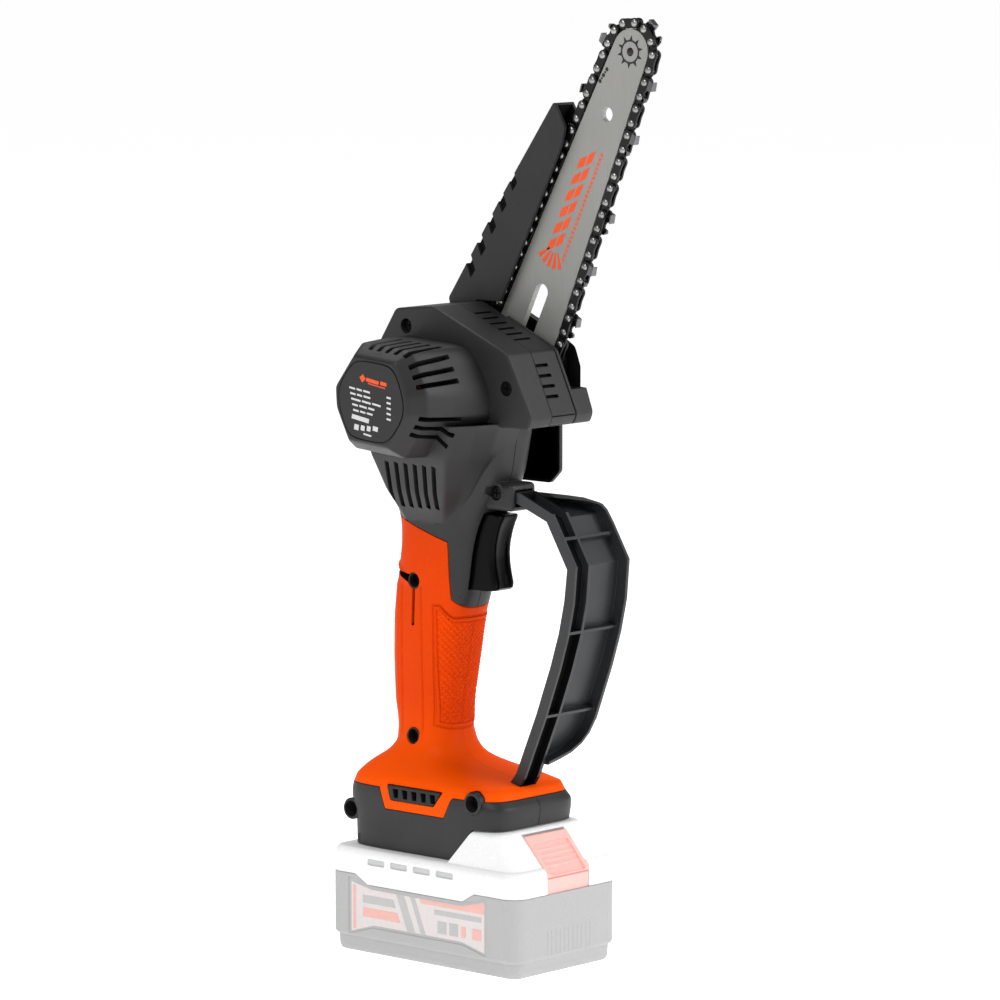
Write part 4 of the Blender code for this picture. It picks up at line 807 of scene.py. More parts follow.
def pad_relief(x, z, along):
    """Height of the grip's pad at a point, for its diamonds, its border and the groove round it."""
    rear = -10.2 - 1.6 * (165 - z) / 57
    top = 167.2 - 5.8 * min(max((x + 6.6) / 4.6, 0.0), 1.0)
    low = 110.2 - 3.2 * min(max((x + 11.5) / 6.0, 0.0), 1.0)
    inside = min(x - rear, (top - z) * 0.9, (z - low) * 0.9)
    if inside > 2.0:
        p, q = along / 3.0 + z / 2.9, along / 3.0 - z / 2.9
        bump = abs(math.sin(math.pi * p) * math.sin(math.pi * q))
        return -0.25 + 0.8 * bump ** 0.7, True
    if inside > 1.5:
        return -0.25, True
    if inside > 0.2:
        return 0.4, False
    if inside > -0.75:
        return -0.55, False
    return 0.0, False


def ridge_relief(x, z):
    """The shallow upright panel between the screws, and the folds behind the upper screw."""
    height = 0.0
    if 104.0 < z < 176.0:
        for line in (-31.6, -18.0):
            gap = abs(x - line)
            if gap < 0.9:
                height -= 0.9 * (1 - gap / 0.9)
        if -31.6 < x < -18.0:
            height -= 0.35
    fold = 188.5 - (x + 40.0) * 0.62
    if x < -26.0 and 176.0 < z < 200.0:
        if fold - 3.2 < z < fold:
            height += 0.7 * math.sin(math.pi * (fold - z) / 3.2)
    if x < -33.0 and 112.0 < z < 178.0:
        height += 0.5 * min(1.0, (-33.0 - x) / 1.5) * min(1.0, (178.0 - z) / 3.0, (z - 112.0) / 8.0)
    return height


def grip_surface():
    """A dense loft of the grip whose points carry the relief; textured faces get the pad's material."""
    count = 352
    heights = [70.0 + 2.0 * i for i in range(18)]
    z = 106.0
    while z < 170.5:
        heights.append(z)
        z += 0.34
    while z < 226:
        heights.append(z)
        z += 0.7 if z < 200 else 1.5
    rings, marks = [], []
    for z in heights:
        ring = body_section(z, 0.0, count)
        along, before = [0.0], Vector(ring[0])
        for point in ring[1:]:
            along.append(along[-1] + (Vector(point) - before).length)
            before = Vector(point)
        made, mark = [], []
        for i, (x, y, _) in enumerate(ring):
            after, prior = Vector(ring[(i + 1) % count]), Vector(ring[i - 1])
            tangent = (after - prior).normalized()
            normal = Vector((tangent.y, -tangent.x, 0.0))
            distance = along[i] if i < count / 2 else along[i] - along[-1] - 0.35
            lift, textured = pad_relief(x, z, abs(distance)) if 104 < z < 170 else (0.0, False)
            if x < 2:
                lift += ridge_relief(x, z)
            made.append((x + normal.x * lift, y + normal.y * lift, z))
            mark.append(textured)
        rings.append(made)
        marks.append(mark)
    body = loft("grip", rings)
    body.data.materials.append(ORANGE)
    body.data.materials.append(PAD)
    for face in body.data.polygons:
        row, column = divmod(face.index, count)
        if row < len(marks) and marks[row][column]:
            face.material_index = 1
    return body


def foot_room(top):
    """The hollow inside the foot, up to a height."""
    return plate("foot_room", rounded_box((-51, -26.8), (34.5, 26.8), 9), 45, top, flat="XY")


def build_grips():
    """Both orange halves, cut from one dense surface."""
    whole = grip_surface()
    for side, sign in SIDES:
        shell = whole.copy()
        shell.data = whole.data.copy()
        MADE.objects.link(shell)
        keep(shell, half_space(sign, 0.06), plate("region", counter_clockwise(GRIP_REGION), -60, 60))
        cut(shell, body_loft("room", 79.0, 230.0, WALL, 4.0, 48),
            foot_room(82),
            guard_strip("socket", [(45.0, 105.0), (37.2, 88.5), (29.3, 77.0)], GUARD_DEPTH + 0.25, -0.25,
                        -6.05, 5.7),
            plate("grille_room", softened(grown(GRILLE, 0.15), 0.8, 2), *span(sign, 20, 40)))
        for x, z, end in FOOT_BOSSES:
            cut(shell, rod("boss_room", (x, sign * 20, z), (x, sign * 40, z), 5.7, 32))
        for name in ("grip_top", "grip_low"):
            x, z = SCREW_HOLES[name]
            if side == "right":
                join(shell, rod("bush", (x, -14.0, z), (x, -SEAM, z), 5.6, 32))
                cut(shell, rod("bore", (x, -60, z), (x, -6.0, z), 4.0, 32))
            else:
                join(shell, rod("bush", (x, SEAM, z), (x, 14.8, z), 4.4, 20))
        slit = softened([(-23.5, 175), (-21.7, 175), (-22.6, 156.6), (-24.4, 156.6)], 0.6, 2)
        wedge = [(-22.6, 180.4), (-22.6, 175.8), (-40.0, 181.6), (-60, 188.0), (-60, 190.4), (-40.0, 183.0)]
        cut(shell, plate("slit", slit, *span(sign, 13.4, 30)),
            plate("slit_up", counter_clockwise(wedge), *span(sign, 9.4, 30)))
        # Faces deep inside the slit and the fold beside it get the near-black painted shade.
        shell.data.materials.append(PAINTED_SHADE)
        hollow = len(shell.data.materials) - 1
        for face in shell.data.polygons:
            c = face.center / MM
            by_slit = -62 < c.x < -21 and 156 < c.z < 191 and math.hypot(c.x + 22.6, c.z - 178.0) > 4.1
            if by_slit and deep(c, 0.9):
                face.material_index = hollow
            elif shell.data.materials[face.material_index] is None:
                face.material_index = 0
        place(shell, "tool", "orange_nylon", [f"grip_{side}"], smooth=50, weighted=False, name=f"{side}_grip")
    spent(whole)
    cup = [(0, -7.0), (3.9, -7.0), (3.9, 6.6), (3.2, 6.6), (3.2, -6.0), (0, -6.0)]
    for name in ("grip_top", "grip_low"):
        x, z = SCREW_HOLES[name]
        sleeve = turned(f"sleeve_{name}", cup, (x, -9.5, z), (0, -1, 0), 28)
        place(sleeve, "tool", "black_plastic", (), RUBBER_BLACK)


def build_feet():
    """The dark foot's two halves, with screw tubes and battery rails."""
    for side, sign in SIDES:
        shell = body_loft("foot", FOOT_BOTTOM_Z, 84.0, step=0.9, count=128)
        keep(shell, half_space(sign))
        if side == "right":
            join(shell, tongue(FOOT_BOTTOM_Z + 0.5, 80.0))
        under = [(14.5, 40), (14.5, FOOT_BOTTOM_Z), (26.5, FOOT_STEP_Z), (60, FOOT_STEP_Z), (60, 40)]
        cut(shell, plate("region", grown(GRIP_REGION, 0.3), -60, 60),
            foot_room(90), plate("under", under, -60, 60))
        ys = span(sign, 19.6, 28.5)
        join(shell, block("rail", (-48, ys[0], 52.0), (13.5, ys[1], 55.6)))
        for x, z, reach in FOOT_BOSSES:
            end = reach if side == "right" else reach - FAR_BOSS_DEPTH
            tube = turned("tube", [(0, -8.6), (5.2, -8.6), (5.2, -0.5), (4.8, 0), (0, 0)], (x, sign * end, z),
                          (0, sign, 0), 36)
            join(shell, tube)
            cut(shell, rod("bore", (x, sign * (end - 6.8), z), (x, sign * 40, z), 4.0, 32))
        place(shell, "tool", "dark_nylon", [f"foot_{side}"], FOOT_DARK, name=f"{side}_foot")


def build_grilles():
    """The slatted inserts: a rounded frame with slanted openings."""
    for side, sign in SIDES:
        ys = span(sign, 27.2, 30.7)
        grille = bevel(plate("grille", softened(grown(GRILLE, -0.15), 0.9, 2), *ys), 0.35, 2)
        for i in range(5):
            x = -23.4 + 5.9 * i
            hole = [(x, 80.3), (x + 3.6, 80.3), (x + 3.5, 76.1), (x + 0.9, 76.1)]
            cut(grille, plate("hole", softened(hole, 0.3, 2), *span(sign, 20, 40)))
        place(grille, "tool", "black_plastic", [f"vent_grille_{side}"], RUBBER_BLACK, name=f"{side}_grille")


def bars_on(name, rows, look, slot):
    """Small flat printed bars on the drum's end, each (x, z, length, width, angle) from the motor's axis."""
    thickness = 0.12
    shape = bmesh.new()
    for x, z, length, width, angle in rows:
        turn = Matrix.Rotation(angle, 4, "Y")
        middle = Vector((MOTOR_X + x, DRUM_END_Y - 0.2, MOTOR_Z + z))
        made = bmesh.ops.create_cube(shape, size=1.0)["verts"]
        bmesh.ops.transform(shape, matrix=Matrix.Translation(middle) @ turn
                            @ Matrix.Diagonal((length, thickness, width, 1.0)), verts=made)
    place(mesh_object(name, shape), "tool", slot, (), look, smooth=0)


def build_rating_plate():
    """A thin dark plate with rows of plain bars in place of its text."""
    label = bevel(plate("drum_label", drum_outline(-0.25), -59.15, -58.4), 0.2, 2)
    place(label, "tool", "plate_black", ["rating_plate"], LABEL_BLACK)
    random.seed(4)
    white, angle = [], math.radians(9)
    for row in range(5):
        x = -13.5 + 0.6 * row
        for _ in range(3):
            length = 3.0 + 3.2 * random.random()
            white.append((x + length / 2, 4.2 - 2.5 * row - (x + length / 2) * 0.12, length, 0.9, angle))
            x += length + 0.9
        white.append((11.5, 2.6 - 2.5 * row, 2.6, 0.9, angle))
    white += [(-6.5, -8.3, 11.0, 2.1, angle), (-9.0, -12.4, 2.8, 2.6, angle), (-5.0, -12.6, 2.4, 2.4, angle),
              (-1.2, -12.6, 2.4, 2.4, angle), (3.0, -12.4, 3.2, 2.2, angle), (-2.0, -15.6, 5.0, 0.8, angle)]
    orange = [(-5.0, 10.6, 2.8, 2.8, angle + 0.78), (1.2, 9.6, 8.0, 1.7, angle), (8.2, 8.8, 4.0, 1.7, angle),
              (3.8, 7.6, 11.0, 0.5, angle)]
    bars_on("label_bars", white, INK_WHITE, "plate_black")
    bars_on("label_stripes", orange, INK_ORANGE, "orange_nylon")


# ---------------------------------------------------------------- cover, bar and chain

def build_cover():
    """The sprocket cover with its slanted front, chain window and thin-walled skirt."""
    rear = [(-34, 262), (-34, 240), (-26, 227), (-16, 223.6)]
    skirt = softened(rear + [(21, 223.6), (27, 229.6), (27, 262)], 1.2, 2)
    cover = plate("cover", softened(HEAD_OUTLINE, 1.6, 2), COVER_INNER_Y, COVER_OUTER_Y)
    slant = [(53, 28.0), (60, 28.0), (60, 60.0), (8, 60.0), (8, 35.6), (20, 35.6)]
    cut(cover, plate("slant", slant, 200, 340, flat="XY"))
    bevel(cover, 1.1, 3, 20)
    join(cover, plate("skirt_rear", softened(rear + [(4, 223.6), (4, 262)], 1.2, 2), 18.6, 33.2),
         bevel(plate("skirt", skirt, 31.0, 33.2), 0.3, 2))
    window = softened([(31.5, 330), (31.5, 276), (35, 270.5), (60, 270.5), (60, 330)], 1.5, 3)
    cut(cover, plate("cover_room", grown(COVER_ROOM, -WALL), COVER_INNER_Y - 2, 32.4),
        plate("skirt_room", grown(skirt, -1.5), 15, 32.2),
        block("guard_slot", (-52, 16, 293.5), (6, 32.2, 330)),
        block("bar_slot", (4, 18.9, 284), (40, 31.4, 330), 1.0), plate("window", window, 18.9, 31.0),
        rod("hole_stud", along_bar(STUD_AT, y=28), along_bar(STUD_AT, y=40), 3.4),
        rod("recess_knob", along_bar(STUD_AT, y=34.4), along_bar(STUD_AT, y=40), 11.4, 48))
    for i in range(4):
        cut(cover, block("rib", (-40 + 3.4 * i, 34.9, 252), (-38.6 + 3.4 * i, 40, 280), 0.0))
    # The cover's inner faces and the inside of its skirt get the near-black painted shade.
    front, under = grown(HEAD_OUTLINE, -0.6), grown(skirt, -1.0)
    paint_hollow_shade(cover, PAINTED_SHADE, lambda c: 17.7 < c.y < 32.6 and (
        within(front, c.x, c.z) or (c.y > 18.9 and within(under, c.x, c.z))))
    place(cover, "tool", "dark_nylon", ["sprocket_cover"], DARK, name="cover_shell")


def bar_outline(extra=0.0):
    """The bar's outline, moved outwards by an extra."""
    slope = math.atan2(BAR_BASE_HALF - NOSE_RADIUS, BAR_BASE_AT)
    steps = 40
    tip = []
    for i in range(steps + 1):
        angle = math.pi - slope - (math.pi - 2 * slope) * i / steps
        reach = NOSE_RADIUS + extra
        tip.append(along_bar(-reach * math.sin(angle), reach * math.cos(angle)))
    sides = [(BAR_BASE_AT, BAR_BASE_HALF + extra), (BAR_BASE_AT + 10, BAR_BASE_HALF + extra - 0.9),
             (BAR_TAIL_AT, BAR_TAIL_HALF + extra)]
    right = [along_bar(distance, half) for distance, half in sides]
    left = [along_bar(distance, -half) for distance, half in reversed(sides)]
    return flat(tip + right + left)


def slot_outline(first, last, radius):
    """A round-ended slot down the middle of the bar."""
    points, steps = [], 16
    for end, sign in ((first, -1), (last, 1)):
        for i in range(steps + 1):
            angle = math.pi * i / steps
            points.append(along_bar(end + sign * radius * math.sin(angle), sign * radius * math.cos(angle)))
    return flat(points)


def build_bar():
    """The guide bar: three laminations with a groove between the outer two, slot and holes."""
    half = BAR_THICKNESS / 2
    bar = bevel(plate("bar_core", bar_outline(), BAR_Y - half, BAR_Y + half), 0.25, 2, 50)
    hole = along_bar(32.3)
    cut(bar, plate("bar_slot", slot_outline(126.0, 163.0, 4.0), 15, 35),
        plate("bar_hole", arc((hole.x, hole.z), 3.4, 0, 351, 40), 15, 35))
    edge = merged(plate("edge_out", bar_outline(0.6), BAR_Y - 0.65, BAR_Y + 0.65))
    cut(edge, plate("edge_in", bar_outline(-3.2), 15, 35))
    cut(bar, edge, rod("nose_hole", along_bar(0, y=15), along_bar(0, y=35), 2.0),
        rod("tension_hole", along_bar(169.0, 10.0, 15), along_bar(169.0, 10.0, 35), 2.2))
    place(bar, "bar", "bar_steel", ["guide_bar"], BAR, name="bar_blade")
    face = BAR_Y - half - 0.04
    ring = star_ring("nose_print", NOSE, 4.7, 5.5, 7.7, 10, face)
    place(ring, "bar", "bar_steel", (), INK_BLACK, smooth=0)
    dome = [(0, 2.0), (1.2, 1.95), (1.7, 1.7), (1.8, 1.3)]
    rivet = turned("nose_boss", dome + [(radius, -height) for radius, height in dome[::-1]], along_bar(0),
                   (0, 1, 0), 28)
    place(rivet, "bar", "bright_steel", ["nose_rivet"], HUB)
    marks = [along_bar(13.6 + 1.7 * i, -9.0 - 0.35 * i, face) for i in range(5)]
    dots = None
    for i, mark in enumerate(marks):
        radius = 0.55 if i % 2 else 0.95
        dot = rod("dot", mark - Vector((0, 0.03, 0)), mark + Vector((0, 0.1, 0)), radius, 14)
        dots = merged(dots, dot) if dots else dot
    place(dots, "bar", "bar_steel", (), INK_BLACK, smooth=0, name="bar_marks")
    build_bar_print(face)


def build_bar_print(face):
    """Slanted blocks, a dashed line and a fan of wedges in the accent colour along the bar."""
    shape = bmesh.new()

    def tile(*corners):
        add_tile(shape, [along_bar(distance, across, face) for distance, across in corners])

    for i in range(6):
        low = 50.5 + 8.6 * i
        tile((low, 1.4), (low + 3.6, -1.6), (low + 9.6, -1.6), (low + 6.0, 1.4))
        tile((low + 4.4, -2.3), (low + 8.0, -5.6), (low + 13.0, -5.6), (low + 10.2, -2.3))
    for i in range(24):
        start = 50.0 + 2.4 * i
        tile((start, 4.6), (start, 6.0), (start + 1.5, 6.0), (start + 1.5, 4.6))
    for i in range(5):
        turn = math.radians(-34 + 17 * i)
        tile(*[(100.5 + reach * math.cos(turn + side), -1.6 + reach * math.sin(turn + side))
               for reach, side in ((5.0, -0.07), (5.0, 0.07), (12.5, 0.09), (12.5, -0.09))])
    place(mesh_object("bar_print", shape), "bar", "orange_nylon", (), INK_ORANGE, smooth=0)


def add_tile(shape, points, thickness=0.05):
    """A thin printed tile on a face of constant Y."""
    lift = Vector((0, thickness, 0))
    prism(shape, [point - lift for point in points], [point + lift for point in points])


def star_ring(name, centre, inner, root, tip, teeth, y):
    """A printed ring with pointed teeth."""
    shape = bmesh.new()
    steps = teeth * 8
    for i in range(steps):
        quad = []
        for j in (i, i + 1):
            share = abs((j % 8) / 4 - 1)
            outer = root + (tip - root) * max(0.0, share * 2 - 1) ** 1.3
            angle = 2 * math.pi * j / steps + 0.2
            pair = [(inner, angle), (outer, angle)]
            quad += pair[::-1] if quad else pair
        add_tile(shape, [Vector((centre[0] + r * math.cos(a), y, centre[1] + r * math.sin(a)))
                         for r, a in quad])
    return mesh_object(name, shape)


def link_outline(reach, half, waist):
    """A strap's figure-of-eight outline round two rivets, lying along u from -reach/2 to reach/2."""
    points, steps = [], 8
    for sign in (1, -1):
        for i in range(steps + 1):
            angle = -math.pi / 2 + math.pi * i / steps
            points.append((sign * (reach / 2 + half * math.cos(angle)), sign * half * math.sin(angle)))
        points.append((0.0, sign * waist))
    return points


def laid(outline, low, high, at, heading):
    """A flat piece drawn in (along, outwards), stood on the chain's path."""
    along = Vector((math.cos(heading), 0.0, math.sin(heading)))
    outward = Vector((math.sin(heading), 0.0, -math.cos(heading)))
    ends = [[Vector((at[0], y, at[1])) + along * u + outward * v for u, v in outline] for y in (low, high)]
    shape = bmesh.new()
    prism(shape, *ends)
    return mesh_object("link", shape)


def build_chain():
    """Straps, drive tangs, cutters with depth gauges and domed rivets, link by link round the bar."""
    steps = LINKS_DRAWN * 60
    path = belt(belt_circles(), steps, CHAIN_PHASE * 60)

    def rivet(link, side):
        x, z, _ = path[round((link + 0.267 * side) * 60) % steps]
        return Vector((x, z))

    def joint(first, second):
        middle, gap = (first + second) / 2, second - first
        heading = math.atan2(second.y - first.y, second.x - first.x)
        return (middle.x, middle.y), heading, gap.length

    straps, cutters, heads = [], [], []
    tang = [(-4.6, 1.6), (-5.0, 0.0), (-4.3, -1.8), (-1.6, -2.3), (-0.6, -4.3), (0.9, -4.3), (2.1, -2.3),
            (4.3, -1.8), (5.0, 0.0), (4.6, 1.6), (1.2, 2.0), (0.0, 1.5), (-1.2, 2.0)]
    foot = [(5.6, -1.9), (5.9, 0.6), (5.9, 2.2), (5.6, 2.6), (0.9, 2.6), (0.4, 2.2), (-1.1, 1.6), (-2.6, 1.9),
            (-3.2, 3.0), (-4.6, 3.2), (-5.3, 2.6), (-5.7, 0.6), (-5.4, -1.9), (-2.2, -2.3), (2.2, -2.3)]
    blade = [(0.7, 2.3), (1.0, 4.6), (1.6, 5.6), (5.7, 4.8), (6.0, 2.3)]
    roof = [(1.1, 5.0), (1.6, 5.7), (5.7, 4.9), (5.5, 4.2)]
    gauge = [(-2.5, 1.9), (-3.0, 3.9), (-4.4, 4.4), (-5.3, 3.2), (-5.3, 1.6)]
    side = [(1.78, 1.9), (1.7, 2.25), (1.4, 2.6), (0.8, 2.85), (0, 2.95)]
    dome = side[::-1] + [(radius, -height) for radius, height in side]
    for link in range(LINKS_DRAWN):
        first, second = rivet(link, -1), rivet(link, 1)
        at, heading, reach = joint(first, second)
        spread = reach / 6.6
        strap = link_outline(reach, 2.45, 2.15)
        toothed = link in TOOTHED
        near = toothed and TOOTHED.index(link) % 2 == 0
        for sign in (-1, 1):
            low, high = sorted((BAR_Y + sign * 0.75, BAR_Y + sign * 2.0))
            if toothed and (sign == -1) == near:
                sole = [(u * spread, v) for u, v in foot]
                straps.append(bevel(laid(sole, low, high, at, heading), 0.15, 1))
                cutters.append(bevel(laid(blade, low, high, at, heading), 0.12, 1))
                ys = sorted((BAR_Y + sign * 2.2, BAR_Y - sign * 1.2))
                cutters.append(bevel(laid(roof, *ys, at, heading), 0.15, 1))
                cutters.append(bevel(laid(gauge, low, high, at, heading), 0.2, 1))
            else:
                straps.append(bevel(laid(strap, low, high, at, heading), 0.25, 2))
        after = rivet(link + 1, -1)
        at, heading, _ = joint(second, after)
        straps.append(bevel(laid(tang, BAR_Y - 0.55, BAR_Y + 0.55, at, heading), 0.12, 1))
        for pin in (first, second):
            heads.append(turned("rivet", dome, (pin.x, BAR_Y, pin.y), (0, 1, 0), 20))
    chain = merged(*straps)
    place(chain, "bar", "chain_steel", ["saw_chain"], LINK, name="chain_links")
    teeth = merged(*cutters)
    place(teeth, "bar", "bright_steel", (), CUTTER, name="chain_cutters")
    pins = merged(*heads)
    place(pins, "bar", "bright_steel", (), BRIGHT, name="chain_rivets")


def build_chain_guard():
    """The hinged guard: a channel with five slanted recesses down its back and a bent lip at its top."""
    back = [(-31.5, 309.0), (34.8, 404.0)]
    rise = Vector((back[1][0] - back[0][0], back[1][1] - back[0][1]))
    inward = Vector((rise.y, -rise.x)).normalized()
    cheek = [(1.4, 309.0), (39.6, 384.4), (41.6, 392.6), (38.2, 398.5)]
    lugs = [(-14.0, 309.0), (-16.0, 303.0), (-16.4, 295.6), (-20.0, 293.0), (-25.0, 293.0), (-28.6, 297.0),
            (-29.5, 303.0)]
    bulge = Vector(back[0]) + rise * 0.5 - inward * 0.8
    outline = softened(cheek[::-1] + lugs + [back[0], tuple(bulge), back[1]], 1.2, 3)
    guard = bevel(plate("guard", outline, 17.5, 31.4), 0.7, 3)
    start = Vector(back[0]) + inward * 1.7 - rise * 0.05
    end = Vector(back[1]) + inward * 1.7 + rise * 0.4
    inside = [(start.x - 20, 270), tuple(start), tuple(end), (90, 440), (90, 270)]
    cut(guard, plate("guard_room", inside, 19.2, 29.7),
        pin_hole(10, 40))
    drop, wide = Vector((2.6, -6.4)), Vector((3.0, 3.9))
    for i in range(5):
        start = Vector((-19.9, 325.6)) + Vector((6.62, 10.55)) * i
        notch = [start - drop * 0.9, start + drop, start + drop + wide, start + wide - drop * 0.9]
        for low, high in ((10.0, 18.7), (30.4, 40.0)):
            cut(guard, plate("notch", counter_clockwise([tuple(corner) for corner in notch]), low, high))
        nick = [start - drop * 0.9, start + drop * 0.18, start + drop * 0.1 + wide, start + wide - drop * 0.9]
        cut(guard, plate("nick", counter_clockwise([tuple(corner) for corner in nick]), 10.0, 40.0))
    # The recess floors and the inside of the channel get the near-black painted shade.
    core = grown(outline, -1.2)
    paint_hollow_shade(guard, PAINTED_SHADE, lambda c: 18.6 < c.y < 18.8 or (19.1 < c.y < 29.8 and within(core, c.x, c.z)))
    place(guard, "guard", "dark_nylon", ["chain_guard"], DARK, name="guard_channel")


def build_knob():
    """The round cover knob with a grip bar and fluted rim."""
    knob = turned("knob", [(0, 9.5), (8.6, 9.5), (9.6, 9.2), (10.4, 8.6), (10.8, 7.6), (10.8, 0.3), (0, 0.3)],
                  along_bar(STUD_AT, y=34.5), (0, 1, 0), 72)
    centre = along_bar(STUD_AT, y=0)
    for i in range(12):
        angle = 2 * math.pi * i / 12
        x, z = centre.x + 11.2 * math.cos(angle), centre.z + 11.2 * math.sin(angle)
        cut(knob, rod("flute", (x, 33, z), (x, 47, z), 1.2, 16))
    join(knob, stood(block("wing", (-9.6, 42.0, -1.8), (9.6, 48.5, 1.8), 1.0), centre))
    place(knob, "knob", "black_plastic", ["cover_knob"], RUBBER_BLACK, name="knob_grip")


# ---------------------------------------------------------------- hand guard and controls

def inset_path(points, distance):
    """An open path moved to its right."""
    made = []
    for i, point in enumerate(points):
        before, after = Vector(points[max(i - 1, 0)]), Vector(points[min(i + 1, len(points) - 1)])
        side = Vector((after.y - before.y, before.x - after.x)).normalized()
        made.append(tuple(Vector(point) + side * distance))
    return made


def strip_outline(line, back, front):
    """The side view of a strip lying between two depths behind a line."""
    return counter_clockwise(inset_path(line, front) + inset_path(line, back)[::-1])


def guard_strip(name, line, back, front, low, high):
    """A strip behind a line, between two depths in Y."""
    return plate(name, strip_outline(line, back, front), low, high)


def guard_stretch(high, low):
    """The part of the hand guard's line between two heights."""
    line = []
    for start, end in zip(GUARD_LINE, GUARD_LINE[1:]):
        for height in (high, low):
            if start[1] > height > end[1]:
                share = (start[1] - height) / (start[1] - end[1])
                line.append((start[0] + share * (end[0] - start[0]), height))
        if high > end[1] > low:
            line.append(end)
    return line


def build_hand_guard():
    """Two rails by the grip, a ribbed web and a raised rim that runs round the web's far side."""
    guard = guard_strip("guard_body", GUARD_LINE, GUARD_DEPTH, -GUARD_LIP, -5.8, 30.0)
    over = [(5.6, 300), (5.6, 222.8), (15, 221.4), (22.7, 219.9), (27.4, 217.6), (29.4, 214.4), (30.0, 208.5),
            (34, 207), (60, 207), (60, 300)]
    under = [(5.5, 20), (5.5, 94.6), (13, 96.6), (20, 99.0), (25.4, 102.8), (28.6, 107.8), (29.8, 114.0),
             (34, 116), (60, 116), (60, 20)]
    rim = 1.7
    pan = inset_path(under[1:7], -rim) + inset_path(over[1:7], rim)[::-1]
    pan = [(-9, 60), (-9, 89.0), *pan, (5.5, 300), (-9, 300)]
    beyond = [(20.0, 223.7)] + GUARD_LINE[1:-1] + [(26.5, 73.0)]
    front = guard_strip("front", beyond, 0.0, -9.0, -8.0, 28.4)
    keep(front, plate("pan", counter_clockwise(pan), -20, 90, flat="YZ"))
    cut(guard, front, guard_strip("rail_front", beyond, 0.0, -9.0, -8.0, 5.6))
    stretches = [(222.6, GUARD_RIBS[0] + 0.7), (GUARD_RIBS[0] - 0.7, GUARD_RIBS[1] + 0.7),
                 (GUARD_RIBS[1] - 0.7, GUARD_RIBS[2] + 0.7), (GUARD_RIBS[2] - 0.7, 83.0)]
    for high, low in stretches:
        line = guard_stretch(high, low)
        far = guard_strip("pocket_far", line, GUARD_DEPTH - 1.8, -4.0, 5.2, 28.4)
        keep(far, plate("pan", counter_clockwise(pan), -20, 90, flat="YZ"))
        cut(guard, guard_strip("pocket_near", line, GUARD_DEPTH - 1.6, -4.0, -4.3, 3.5), far)
    cut(guard, plate("over", over, 0, 90, flat="YZ"), plate("under", under, 0, 90, flat="YZ"),
        block("web_start", (15, 5.9, 200), (32.7, 9.2, 240)))
    bevel(guard, 0.3, 2, 35)
    # The channel between the rails gets the near-black painted shade.
    pocket = strip_outline(GUARD_LINE, GUARD_DEPTH - 1.5, -1.9)
    paint_hollow_shade(guard, PAINTED_SHADE, lambda c: -4.4 < c.y < 3.6 and c.z < 221 and within(pocket, c.x, c.z))
    place(guard, "tool", "dark_nylon", ["hand_guard"], DARK_SMOOTH, name="guard_frame")


def build_trigger():
    """A hollow-backed trigger whose glossy face is waisted in height and dished across."""
    rings = []
    front = [(175.4, 17.0), (175.7, 19.6), (176.8, 21.0), (179.0, 21.2), (183.0, 20.2), (188.0, 19.2),
             (193.0, 18.9), (198.0, 19.4), (203.0, 20.7), (207.0, 22.2), (210.2, 23.8), (211.2, 23.9),
             (211.6, 22.8)]
    for z, reach in front:
        hollow = 0.9 if 177.5 < z < 209 else 0.2
        side = [(-3.0, 7.0), (reach - 3.4, 7.0), (reach - 2.0, 6.8), (reach - 0.9, 6.1), (reach - 0.2, 5.0)]
        ring = [(x, -y) for x, y in side]
        ring += [(reach - hollow * (1 - (y / 5.0) ** 2), y) for y in (-3.8, -2.5, -1.2, 0.0, 1.2, 2.5, 3.8)]
        ring += side[::-1]
        rings.append([(x, y, z) for x, y in ring])
    trigger = loft("trigger_body", rings)
    cut(trigger, block("hollow", (-12, -5.2, 178.5), (12.0, 5.2, 208.0)))
    place(trigger, "trigger_body", "black_plastic", ["trigger"], BLACK, smooth=50, name="trigger_lever")


def build_lock_button():
    """The lock-off button with three lines across its cap."""
    button = block("lock_cap", (-16.0, 10.4, 205.5), (-5.0, 20.4, 212.5), 1.2, 3)
    for i in range(3):
        cut(button, block("line", (-13.6 + 2.8 * i, 19.8, 206.5), (-12.8 + 2.8 * i, 25, 211.5)))
    place(button, "lock_off", "black_plastic", ["lock_off_button"], RUBBER_BLACK)


def build_oil_cap():
    """The oil tank's filler cap with its grip bar."""
    profile = [(0, 5.6), (5.6, 5.6), (6.4, 5.2), (6.8, 4.4), (6.8, 0), (4.3, 0), (4.3, 3.6), (0, 3.6)]
    cap = turned("filler", profile, (-49.6, OIL_CAP_Y, OIL_CAP_Z), (-1, 0, 0), 48)
    join(cap, block("cap_grip", (-57.4, 1.8, 272.0), (-54.0, 12.6, 274.0), 0.6))
    place(cap, "cap", "orange_nylon", ["oil_cap"], ORANGE, name="filler_cap")


# ---------------------------------------------------------------- battery pack

def pack_ring(z, inset):
    """A level ring round the pack, drawn in by an inset."""
    radius = 9.0
    half_x, half_y = BATTERY_LENGTH / 2 - inset, BATTERY_WIDTH / 2 - inset
    outline = rounded_box((-half_x, -half_y), (half_x, half_y), max(radius - inset, 3.0), 10)
    return [(x, y, z) for x, y in outline]


def pack_split(low, shift):
    """The region below or above the dipped line where case and top meet."""
    dip = SPLIT_Z - DIP_Z
    seam = [(-90, 0), (-42, 0), (-34, -dip), (26.5, -dip), (34, 0), (90, 0)]
    line = [(x, SPLIT_Z + z + shift) for x, z in seam]
    far = [(90, -20), (-90, -20)] if low else [(90, 120), (-90, 120)]
    return counter_clockwise(line + far)


def pack_room(low, high):
    """The hollow inside the case and its top, between two heights."""
    return plate("pack_room", rounded_box((-56.4, -33.0), (56.4, 33.0), 6.5), low, high, flat="XY")


